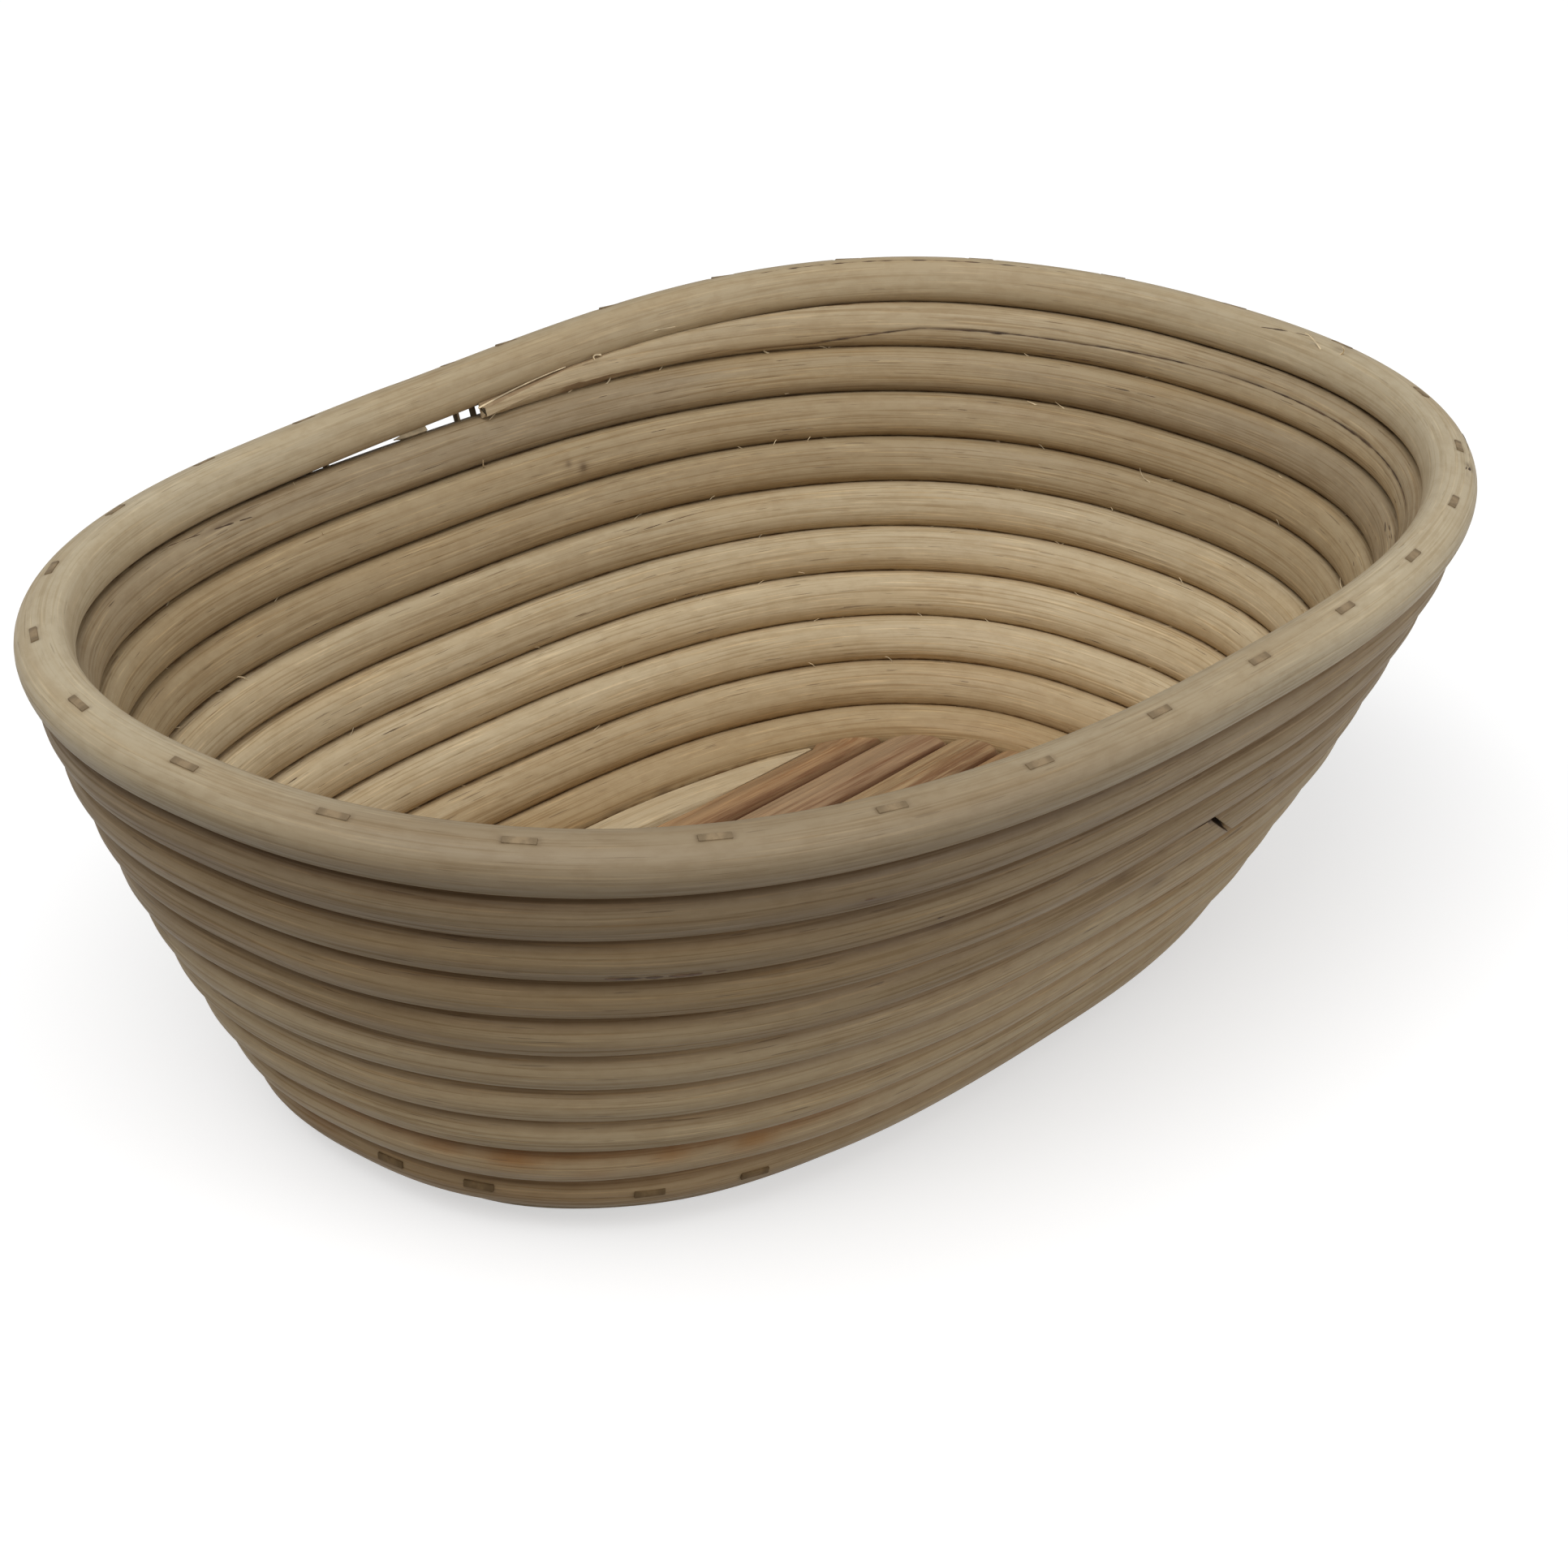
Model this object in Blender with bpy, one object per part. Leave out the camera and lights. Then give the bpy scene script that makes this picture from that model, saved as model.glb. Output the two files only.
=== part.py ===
"""Oval proofing basket, wound from round rattan cane and held with wire staples.

A flat floor of flattened cane strips is wrapped by a spiral of cane that climbs into the wall.
The spiral is two lengths of cane, lapped where they meet. Its top end is whittled to a long taper
under a separate rim hoop, which steps down one cane there and leaves a narrow wedge of air.

Lengths are in metres and angles in degrees. The basket stands on its floor strips at z = 0, +X runs
along it, and the middle of its rim is over the origin. Places along the winding are turn numbers:
whole turns lie where the spiral's top end comes to its tip, and a cane at turn 4.5 is 4.5 turns up.
"""

import math

import bmesh
import bpy
import numpy as np
from mathutils import Matrix, Vector

# Cane
CANE_DIAMETER = 0.0080
RIM_DIAMETER = 0.0080
TURN_GAP = 0.0005

# Oval of the first turn's centre line
FIRST_TURN_LENGTH = 0.1678
FIRST_TURN_WIDTH = 0.0849
OVAL_POWER = 2.65

# Wall profile, whose slope grows from the foot to the rim
WALL_TURNS = 10
FOOT_SLOPE = 57.6
RIM_SLOPE = 70.6
FOOT_BEND_START = -0.3
FOOT_BEND_END = 1.7

# Ends and joints of the canes
TIP_ANGLE = 85.0
TIP_THICKNESS = 0.0015
START_TURN = -0.09
START_TAPER = 0.100
WALL_LAP_TURN = 6.37
WALL_LAP_LENGTH = 0.105
RIM_LAP_TURN = 0.58
RIM_LAP_LENGTH = 0.060
RIM_STEP_BEFORE_TIP = 0.175
RIM_STEP_AFTER_TIP = 0.065

# Floor strips
STRIP_COUNT = 9
STRIP_THICKNESS = 0.0055
STRIP_EDGE_ROUND = 0.0014
STRIP_GAP = 0.0005
SEAT_CLEARANCE = 0.0003

# Staples
STAPLE_CROWN = 0.0047
STAPLE_LEG = 0.0130
FLOOR_STAPLE_LEG = 0.0102
STAPLE_WIRE_WIDTH = 0.0012
STAPLE_WIRE_THICKNESS = 0.0006
STAPLE_SINK = 0.0003
RIM_STAPLE_COUNT = 28
WALL_STAPLE_COUNT = 4
SIDE_STAPLE_COUNT = 4
SIDE_STAPLE_START_TURN = 0.43
SIDE_STAPLE_END_TURN = 0.60
UNSTAPLED_STRIP_COUNT = 2

# Fineness of the model
POINTS_PER_TURN = 32
PROFILE_STEPS = 1300
OUTLINE_SAMPLES = 4

# Worked out from the sizes above
PITCH = CANE_DIAMETER + TURN_GAP
RIM_LEVEL = WALL_TURNS + (RIM_DIAMETER - CANE_DIAMETER) / (2 * PITCH)
POCKET_MOUTH = 0.9 * TURN_GAP
EIGHTH = math.tau / 8
UP = Vector((0, 0, 1))

# Which side of a cane is whittled away, in quarter turns from the side that faces the next turn up
UPPER_SIDE, OUTER_SIDE, LOWER_SIDE, INNER_SIDE = range(4)

CANE_TAN = (0.56, 0.43, 0.28)
CANE_PALE = (0.62, 0.50, 0.34)
STRIP_COLOURS = ((0.55, 0.41, 0.27), (0.50, 0.34, 0.24), (0.47, 0.31, 0.19))
STEEL_GREY = (0.42, 0.39, 0.35)


def clear_scene():
    for item in list(bpy.data.objects):
        bpy.data.objects.remove(item, do_unlink=True)


def new_material(name, colour, roughness, metallic=0.0):
    material = bpy.data.materials.new(name)
    material.use_nodes = True
    shader = material.node_tree.nodes["Principled BSDF"]
    shader.inputs["Base Color"].default_value = (*colour, 1.0)
    shader.inputs["Roughness"].default_value = roughness
    shader.inputs["Metallic"].default_value = metallic
    return material


def new_object(name, mesh_data, parent):
    piece = bpy.data.objects.new(name, mesh_data)
    piece.parent = parent
    bpy.context.collection.objects.link(piece)
    return piece


def finish_mesh(name, shape, material, sharp_angle=50.0):
    """Turn a bmesh into mesh data, with its round faces shaded smooth."""
    bmesh.ops.recalc_face_normals(shape, faces=shape.faces)
    mesh_data = bpy.data.meshes.new(name)
    shape.to_mesh(mesh_data)
    shape.free()
    mesh_data.materials.append(material)
    mesh_data.shade_smooth()
    mesh_data.set_sharp_from_angle(angle=math.radians(sharp_angle))
    return mesh_data


def smooth_step(value):
    value = np.clip(value, 0.0, 1.0)
    return value * value * (3 - 2 * value)


# The wall's shape

def wall_slope(level):
    """Slope of the wall in radians: flat under the first turn, then steeper with every turn."""
    share = np.clip(level / (WALL_TURNS + 1), 0.0, 1.0)
    climb = np.radians(FOOT_SLOPE + (RIM_SLOPE - FOOT_SLOPE) * share)
    return climb * smooth_step((level - FOOT_BEND_START) / (FOOT_BEND_END - FOOT_BEND_START))


def wall_profile():
    """How far out and up each level lies. Where the profile bends, a cane's corner meets its
    neighbour's flat, so turns lie further apart there, and the arc between them is longer too."""
    levels = np.linspace(-1.0, WALL_TURNS + 2.0, PROFILE_STEPS)
    slope = wall_slope(levels)
    bend = np.gradient(slope, levels)
    corner = np.cos(bend / 2) + math.tan(EIGHTH / 2) * np.sin(bend / 2)
    spacing = (CANE_DIAMETER * corner + TURN_GAP) * (1 + bend ** 2 / 24)
    step = spacing * np.gradient(levels)
    reach = np.cumsum(np.cos(slope) * step)
    height = np.cumsum(np.sin(slope) * step)
    return levels, reach - np.interp(0, levels, reach), height - np.interp(0, levels, height)


LEVELS, REACH, HEIGHT = wall_profile()


class WallPlace:
    """A place on the winding: its centre, and the directions along, up and out of the wall."""

    def __init__(self, turn, level):
        angle = math.radians(TIP_ANGLE) + math.tau * turn
        cosine, sine = math.cos(angle), math.sin(angle)
        power = 2 / OVAL_POWER
        half_length, half_width = FIRST_TURN_LENGTH / 2, FIRST_TURN_WIDTH / 2
        x = half_length * math.copysign(abs(cosine) ** power, cosine)
        y = half_width * math.copysign(abs(sine) ** power, sine)
        normal_x = math.copysign(abs(cosine) ** (2 - power), cosine) / half_length
        normal_y = math.copysign(abs(sine) ** (2 - power), sine) / half_width
        slope = float(wall_slope(level))
        self.out = Vector((normal_x, normal_y, 0)).normalized()
        self.along = UP.cross(self.out)
        self.rise = self.out * math.cos(slope) + UP * math.sin(slope)
        self.face = self.out * math.sin(slope) - UP * math.cos(slope)
        self.centre = (
            Vector((x, y, PITCH / 2))
            + self.out * float(np.interp(level, LEVELS, REACH))
            + UP * float(np.interp(level, LEVELS, HEIGHT))
        )


def wall_level(turn):
    return turn


def rim_level(turn):
    """The rim follows the top turn and steps down by one cane round the spiral's tip."""
    past_tip = (turn + 0.5) % 1.0 - 0.5
    step = (past_tip + RIM_STEP_BEFORE_TIP) / (RIM_STEP_BEFORE_TIP + RIM_STEP_AFTER_TIP)
    return RIM_LEVEL + past_tip + 1.0 - float(smooth_step(step))


def arc_table(level_of, start, end, steps=720):
    """Turn numbers and the lengths of cane up to them."""
    turns = np.linspace(start, end, steps + 1)
    centres = np.array([WallPlace(turn, level_of(turn)).centre for turn in turns])
    lengths = np.linalg.norm(np.diff(centres, axis=0), axis=1)
    return turns, np.concatenate(([0.0], np.cumsum(lengths)))


def turn_after(turn, length, level_of):
    """The turn number this length of cane further on."""
    turns, lengths = arc_table(level_of, turn, turn + 1.0)
    if length < 0:
        return 2 * turn - turn_after(turn, -length, level_of)
    return float(np.interp(length, lengths, turns))


def shared_samples():
    """Places round one turn, used on every turn so that neighbours stay parallel. They lie closer
    together where the oval bends."""
    turns, lengths = arc_table(lambda turn: WALL_TURNS / 2, 0.0, 1.0)
    outs = np.array([WallPlace(turn, 0.0).out for turn in turns])
    bends = np.arccos(np.clip(np.sum(outs[1:] * outs[:-1], axis=1), -1.0, 1.0))
    bent = np.concatenate(([0.0], np.cumsum(bends)))
    mix = lengths / lengths[-1] + bent / bent[-1]
    return np.interp(np.arange(POINTS_PER_TURN) * 2 / POINTS_PER_TURN, mix, turns)


SAMPLES = shared_samples()


def ring_turns(start, end, own):
    """The turn numbers of a cane's rings: its own ends and cuts, and the shared samples between."""
    closest = 0.25 / POINTS_PER_TURN
    turns = list(own)
    for whole in range(math.floor(start), math.ceil(end)):
        for turn in whole + SAMPLES:
            if start < turn < end and min(abs(turn - other) for other in own) > closest:
                turns.append(float(turn))
    return sorted(turns)


# Canes

def full_section(radius):
    """An eight-sided cane section whose flats face its neighbours."""
    corner_radius = radius / math.cos(EIGHTH / 2)
    angles = [(corner + 0.5) * EIGHTH for corner in range(8)]
    return np.array([(corner_radius * math.cos(a), corner_radius * math.sin(a)) for a in angles])


def tip_section(radius):
    """What is left of that section at a whittled tip, as eight points in the same order."""
    flat = radius * math.tan(EIGHTH / 2)
    cut = TIP_THICKNESS - radius
    half_width = float(np.interp(cut, (-radius, -flat), (flat, radius)))
    side = [
        (cut, half_width / 2),
        (cut, half_width),
        ((cut - radius) / 2, (half_width + flat) / 2),
        (-radius, flat),
    ]
    return np.array(side + [(x, -y) for x, y in reversed(side)])


def whittled_section(diameter, depth, side):
    """A cane section with this depth whittled away from one side."""
    share = min(max(depth / (diameter - TIP_THICKNESS), 0.0), 1.0)
    section = full_section(diameter / 2) * (1 - share) + tip_section(diameter / 2) * share
    cosine, sine = math.cos(side * math.tau / 4), math.sin(side * math.tau / 4)
    turned = section @ np.array(((cosine, sine), (-sine, cosine)))
    return np.roll(turned, 2 * side, axis=0)


def cane_rings(turns, level_of, diameter, cut_at):
    rings = []
    for turn in turns:
        place = WallPlace(turn, level_of(turn))
        section = whittled_section(diameter, *cut_at(turn))
        rings.append([place.centre + place.rise * up + place.face * out for up, out in section])
    return rings


def least_gap(turns, rings):
    """Least gap between a cane and its own next turn, measured between points on their outlines."""
    shares = np.arange(OUTLINE_SAMPLES) / OUTLINE_SAMPLES
    outlines = []
    for ring in rings:
        corners = np.array(ring)
        edges = np.roll(corners, -1, axis=0) - corners
        outlines.append((corners[:, None] + edges[:, None] * shares[:, None]).reshape(-1, 3))
    gaps = []
    for first, turn in enumerate(turns):
        for second in range(first + 1, len(turns)):
            if abs(turns[second] - turn - 1.0) < 0.5 / POINTS_PER_TURN:
                steps = outlines[first][:, None] - outlines[second][None, :]
                gaps.append(np.linalg.norm(steps, axis=2).min())
    return min(gaps)


def sweep_cane(name, rings, material, parent):
    """Skin one unbroken cane over its rings and close both ends."""
    shape = bmesh.new()
    loops = [[shape.verts.new(point) for point in ring] for ring in rings]
    for before, after in zip(loops, loops[1:]):
        for corner in range(8):
            following = (corner + 1) % 8
            shape.faces.new((before[corner], before[following], after[following], after[corner]))
    shape.faces.new(loops[0])
    shape.faces.new(loops[-1])
    return new_object(name, finish_mesh(name, shape, material), parent)


class Lap:
    """A lap joint: the cane that ends keeps its outer side, the one that starts its inner side."""

    def __init__(self, turn, length, level_of, diameter):
        self.diameter = diameter
        self.start = turn
        self.end = turn_after(turn, length, level_of)
        self.slit = turn_after(turn, TURN_GAP, level_of) - turn

    def ending_depth(self, turn):
        """Depth whittled off the inner side of the cane that ends here."""
        share = (turn - self.start) / (self.end - self.start)
        least = TIP_THICKNESS + TURN_GAP
        most = self.diameter - TIP_THICKNESS
        return least + (most - least) * min(max(share, 0.0), 1.0)

    def starting_depth(self, turn):
        """Depth whittled off the outer side of the cane that starts here, one gap clear of it."""
        return self.diameter + TURN_GAP - self.ending_depth(turn)

    def ending_cut(self, turn):
        if turn < self.start - 1.5 * self.slit:
            return 0.0, INNER_SIDE
        return self.ending_depth(turn), INNER_SIDE

    def starting_cut(self, turn):
        if turn > self.end + 1.5 * self.slit:
            return 0.0, OUTER_SIDE
        return self.starting_depth(turn), OUTER_SIDE

    def ending_turns(self):
        return [self.start - 2 * self.slit, self.start - self.slit, self.end]

    def starting_turns(self):
        return [self.start, self.end + self.slit, self.end + 2 * self.slit]


WALL_LAP = Lap(WALL_LAP_TURN, WALL_LAP_LENGTH, wall_level, CANE_DIAMETER)
RIM_LAP = Lap(RIM_LAP_TURN, RIM_LAP_LENGTH, rim_level, RIM_DIAMETER)
START_FULL_TURN = turn_after(START_TURN, START_TAPER, wall_level)


def start_depth(turn):
    """Depth whittled off the floor side of the spiral's first end."""
    share = (START_FULL_TURN - turn) / (START_FULL_TURN - START_TURN)
    return (CANE_DIAMETER - TIP_THICKNESS) * min(max(share, 0.0), 1.0)


def taper_depth(turn):
    """Depth whittled off the top of the spiral's last stretch, to pass under the rim."""
    if turn < WALL_TURNS - 0.5:
        return 0.0
    cane = WallPlace(turn, wall_level(turn))
    rim = WallPlace(turn, rim_level(turn))
    room = (rim.centre - cane.centre).dot(cane.rise) - RIM_DIAMETER / 2 - TURN_GAP
    return CANE_DIAMETER / 2 - room


def lower_cut(turn):
    if turn < START_FULL_TURN:
        return start_depth(turn), LOWER_SIDE
    return WALL_LAP.ending_cut(turn)


def upper_cut(turn):
    if turn > WALL_TURNS - 0.5:
        return taper_depth(turn), UPPER_SIDE
    return WALL_LAP.starting_cut(turn)


def rim_cut(turn):
    if turn < RIM_LAP.start + 0.5:
        return RIM_LAP.starting_cut(turn)
    return RIM_LAP.ending_cut(turn - 1.0)


def make_cane(name, own, level_of, diameter, cut_at, colour, parent):
    turns = ring_turns(min(own), max(own), own)
    rings = cane_rings(turns, level_of, diameter, cut_at)
    print(f"{name}: least gap to itself {least_gap(turns, rings) * 1000:.2f} mm")
    return sweep_cane(name, rings, new_material(name, colour, 0.6), parent)


def make_canes(parent):
    lower_own = [START_TURN, START_FULL_TURN, *WALL_LAP.ending_turns()]
    upper_own = [*WALL_LAP.starting_turns(), float(WALL_TURNS)]
    rim_own = [*RIM_LAP.starting_turns(), *(turn + 1.0 for turn in RIM_LAP.ending_turns())]
    return [
        make_cane("lower_wall_cane", lower_own, wall_level, CANE_DIAMETER, lower_cut, CANE_TAN, parent),
        make_cane("upper_wall_cane", upper_own, wall_level, CANE_DIAMETER, upper_cut, CANE_TAN, parent),
        make_cane("rim_hoop", rim_own, rim_level, RIM_DIAMETER, rim_cut, CANE_PALE, parent),
    ]


# Floor

def floor_outline():
    """Plan of the floor, one clearance inside the first turn."""
    corner_radius = CANE_DIAMETER / 2 / math.cos(EIGHTH / 2)
    before_tip = turn_after(START_TURN, -CANE_DIAMETER / 2, wall_level)
    points = []
    for turn in ring_turns(START_TURN, before_tip + 1.0, [START_TURN, before_tip + 1.0]):
        place = WallPlace(turn, wall_level(turn))
        inward = corner_radius - start_depth(turn) + SEAT_CLEARANCE
        edge = place.centre - place.out * inward
        points.append(Vector((edge.x, edge.y, 0)))
    return points


def cut_off(shape, y, side):
    """Remove what lies past a plane across Y and close the cut."""
    everything = shape.verts[:] + shape.edges[:] + shape.faces[:]
    cut = bmesh.ops.bisect_plane(
        shape, geom=everything, plane_co=(0, y, 0), plane_no=(0, side, 0), clear_outer=True
    )
    edges = [part for part in cut["geom_cut"] if isinstance(part, bmesh.types.BMEdge)]
    bmesh.ops.contextual_create(shape, geom=edges)


def make_strip(name, outline, low, high, colour, parent):
    """One flattened cane strip: the floor's plan, raised, cut to its own width and rounded on top."""
    shape = bmesh.new()
    plan = shape.faces.new([shape.verts.new(point) for point in outline])
    raised = bmesh.ops.extrude_face_region(shape, geom=[plan], use_keep_orig=True)
    lifted = [part for part in raised["geom"] if isinstance(part, bmesh.types.BMVert)]
    bmesh.ops.translate(shape, verts=lifted, vec=(0, 0, STRIP_THICKNESS))
    cut_off(shape, low, -1)
    cut_off(shape, high, 1)
    middle = STRIP_THICKNESS / 2
    rounded = [edge for edge in shape.edges if all(vert.co.z > middle for vert in edge.verts)]
    bmesh.ops.bevel(
        shape, geom=rounded, offset=STRIP_EDGE_ROUND, segments=2, affect="EDGES", clamp_overlap=True
    )
    return new_object(name, finish_mesh(name, shape, new_material(name, colour, 0.65)), parent)


def strip_edges(outline):
    """Where each strip's two long edges lie across the floor."""
    first = min(point.y for point in outline)
    width = (max(point.y for point in outline) - first) / STRIP_COUNT
    starts = [first + number * width for number in range(STRIP_COUNT)]
    return [(start + STRIP_GAP / 2, start + width - STRIP_GAP / 2) for start in starts]


def make_floor(parent):
    outline = floor_outline()
    strips = []
    for number, (low, high) in enumerate(strip_edges(outline)):
        colour = STRIP_COLOURS[number % len(STRIP_COLOURS)]
        strips.append(make_strip(f"floor_strip_{number + 1}", outline, low, high, colour, parent))
    return strips


# Staples

def staple_shape(shape, matrix, leg, grow, crown_top):
    """Add a wire staple with its crown along local X and its legs down local Z."""
    outside = STAPLE_CROWN / 2 + grow
    inside = STAPLE_CROWN / 2 - STAPLE_WIRE_THICKNESS - grow
    tip = -leg - grow
    under = -STAPLE_WIRE_THICKNESS - grow
    outline = [
        (-outside, crown_top), (outside, crown_top), (outside, tip), (inside, tip),
        (inside, under), (-inside, under), (-inside, tip), (-outside, tip),
    ]
    half_width = STAPLE_WIRE_WIDTH / 2 + grow
    front = [shape.verts.new(matrix @ Vector((x, -half_width, z))) for x, z in outline]
    back = [shape.verts.new(matrix @ Vector((x, half_width, z))) for x, z in outline]
    shape.faces.new(front)
    shape.faces.new(reversed(back))
    for corner in range(len(outline)):
        following = (corner + 1) % len(outline)
        shape.faces.new((front[following], front[corner], back[corner], back[following]))


def staple_pose(place, drive, radius):
    """Stand a staple on a cane's surface, with its crown along the cane and its legs driven in."""
    down = -drive
    across = down.cross(place.along).normalized()
    along = across.cross(down)
    crown = place.centre + down * (radius - STAPLE_SINK)
    return Matrix.Translation(crown) @ Matrix((along, across, down)).transposed().to_4x4()


def even_turns(level_of, start, end, count):
    """This many turn numbers, evenly spaced along a stretch of cane."""
    turns, lengths = arc_table(level_of, start, end)
    return np.interp((np.arange(count) + 0.5) * lengths[-1] / count, lengths, turns)


def rim_staple_poses():
    for turn in even_turns(rim_level, 0.0, 1.0, RIM_STAPLE_COUNT):
        place = WallPlace(turn, rim_level(turn))
        yield staple_pose(place, -place.rise, RIM_DIAMETER / 2)


def wall_staple_poses():
    """Staples through the upper length's first turn into the lower length's last turn."""
    first = WALL_LAP.end + 2 * WALL_LAP.slit
    for turn in even_turns(wall_level, first, first + 1.0, WALL_STAPLE_COUNT):
        place = WallPlace(turn, wall_level(turn))
        yield staple_pose(place, -place.rise, CANE_DIAMETER / 2)


def floor_staple_target(turn):
    """Where the legs of a staple through the first turn end: level with the floor's middle."""
    place = WallPlace(turn, wall_level(turn))
    target = place.centre - place.out * (FLOOR_STAPLE_LEG - CANE_DIAMETER / 2)
    return Vector((target.x, target.y, STRIP_THICKNESS / 2))


def strip_end_turns():
    """Turn numbers at which the first turn faces the ends of the strips, on their middle lines. The
    strips next to the long sides are left out, because their ends lie too slanted for a staple."""
    edges = strip_edges(floor_outline())[UNSTAPLED_STRIP_COUNT:-UNSTAPLED_STRIP_COUNT]
    middles = [(low + high) / 2 for low, high in edges]
    turns = np.linspace(START_FULL_TURN, START_TURN + 1.0, PROFILE_STEPS)
    across = np.array([floor_staple_target(turn).y for turn in turns])
    lowest = int(np.argmin(across))
    one_end = np.interp(middles, across[lowest::-1], turns[lowest::-1])
    other_end = np.interp(middles, across[lowest:], turns[lowest:])
    return [*one_end, *other_end]


def floor_staple_poses():
    """Staples through the first turn, into the strips' ends and along the free long side."""
    side = even_turns(wall_level, SIDE_STAPLE_START_TURN, SIDE_STAPLE_END_TURN, SIDE_STAPLE_COUNT)
    for turn in sorted([*strip_end_turns(), *side]):
        place = WallPlace(turn, wall_level(turn))
        drive = (floor_staple_target(turn) - place.centre).normalized()
        yield staple_pose(place, drive, CANE_DIAMETER / 2)


def make_staples(parent):
    """Make every staple, and return the guide that cuts their pockets."""
    steel = new_material("staple", STEEL_GREY, 0.4, 1.0)
    pockets = bmesh.new()
    groups = {
        "rim_staple": (STAPLE_LEG, rim_staple_poses()),
        "wall_staple": (STAPLE_LEG, wall_staple_poses()),
        "floor_staple": (FLOOR_STAPLE_LEG, floor_staple_poses()),
    }
    for kind, (leg, poses) in groups.items():
        wire = bmesh.new()
        staple_shape(wire, Matrix.Identity(4), leg, 0.0, 0.0)
        wire_data = finish_mesh(kind, wire, steel)
        for number, pose in enumerate(poses, 1):
            new_object(f"{kind}_{number:02d}", wire_data, parent).matrix_local = pose
            staple_shape(pockets, pose, leg, SEAT_CLEARANCE, STAPLE_SINK + POCKET_MOUTH)
    guide_data = finish_mesh("staple_pockets", pockets, new_material("guide", CANE_PALE, 1.0))
    guide = new_object("staple_pockets", guide_data, parent)
    guide.hide_render = True
    guide.display_type = "WIRE"
    return guide


def cut_pockets(pieces, guide):
    for piece in pieces:
        cut = piece.modifiers.new("staple pockets", "BOOLEAN")
        cut.operation = "DIFFERENCE"
        cut.object = guide


def rim_middle():
    """Middle of the rim's plan."""
    centres = [WallPlace(turn, rim_level(turn)).centre for turn in SAMPLES]
    x = [centre.x for centre in centres]
    y = [centre.y for centre in centres]
    return Vector(((min(x) + max(x)) / 2, (min(y) + max(y)) / 2, 0))


def main():
    clear_scene()
    basket = bpy.data.objects.new("basket", None)
    bpy.context.collection.objects.link(basket)
    basket.location = -rim_middle()
    canes = make_canes(basket)
    strips = make_floor(basket)
    guide = make_staples(basket)
    cut_pockets(canes + strips, guide)


main()
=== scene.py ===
"""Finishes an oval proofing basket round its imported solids.

The wall is two lengths of rattan cane, whittled straight and then wound on the solids' own spiral. A
rim hoop is bent the same way, flattened cane strips lie in the floor, and wire staples hold it all.
Lengths are in metres. Places along the winding are turn numbers, as in the part's own source: whole
turns lie where the spiral's top end comes to its tip.
"""

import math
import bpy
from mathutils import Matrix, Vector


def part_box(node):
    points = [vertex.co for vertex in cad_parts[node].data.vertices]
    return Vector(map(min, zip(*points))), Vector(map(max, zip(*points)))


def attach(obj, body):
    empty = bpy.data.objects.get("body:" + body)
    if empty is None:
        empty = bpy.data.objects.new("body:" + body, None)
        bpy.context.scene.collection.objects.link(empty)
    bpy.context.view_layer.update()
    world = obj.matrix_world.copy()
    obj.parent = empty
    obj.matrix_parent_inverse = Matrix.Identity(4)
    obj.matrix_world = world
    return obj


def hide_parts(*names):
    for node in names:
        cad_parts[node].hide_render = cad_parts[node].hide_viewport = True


bl_info = {
    "name": "Oval proofing basket",
    "version": (1, 0, 0),
    "blender": (4, 5, 0),
    "location": "3D View > Sidebar > Basket",
    "description": "Winds, staples and finishes an oval rattan basket round its packed solids",
    "category": "Object",
}

import bpy
import numpy as np
from mathutils import Matrix, Vector

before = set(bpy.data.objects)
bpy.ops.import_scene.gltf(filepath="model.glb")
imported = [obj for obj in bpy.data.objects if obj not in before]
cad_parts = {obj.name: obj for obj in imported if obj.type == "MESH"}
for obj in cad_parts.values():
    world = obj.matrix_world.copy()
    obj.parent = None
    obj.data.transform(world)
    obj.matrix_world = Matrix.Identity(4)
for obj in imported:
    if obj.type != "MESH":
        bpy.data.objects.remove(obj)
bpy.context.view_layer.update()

BODY = "root"

# Sizes of the solids, repeated from the part's source
CANE_DIAMETER = 0.0080
TURN_GAP = 0.0005
PITCH = CANE_DIAMETER + TURN_GAP
FIRST_TURN_LENGTH = 0.1678
FIRST_TURN_WIDTH = 0.0849
OVAL_POWER = 2.65
WALL_TURNS = 10
FOOT_SLOPE = math.radians(57.6)
RIM_SLOPE = math.radians(70.6)
FOOT_BEND_START = -0.3
FOOT_BEND_END = 1.7
TIP_ANGLE = math.radians(85.0)
START_TURN = -0.09
START_TAPER = 0.100
WALL_LAP_TURN = 6.37
WALL_LAP_LENGTH = 0.105
RIM_LAP_TURN = 0.58
RIM_LAP_LENGTH = 0.060
RIM_STEP_BEFORE_TIP = 0.175
RIM_STEP_AFTER_TIP = 0.065
STRIP_COUNT = 9
RIM_STAPLE_COUNT = 28
WALL_STAPLE_COUNT = 4
FLOOR_STAPLE_COUNT = 14
OCTAGON_CORNER = math.tan(math.pi / 8)

# Middle of the rim as first laid out, which the solids have moved over the origin
RIM_MIDDLE = np.array((0.0007266, -0.0004703, 0.0))

# How finely the winding is worked out
PROFILE_STEPS = 1300
PATH_STEPS = 2400
OUTLINE_STEPS = 721

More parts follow.
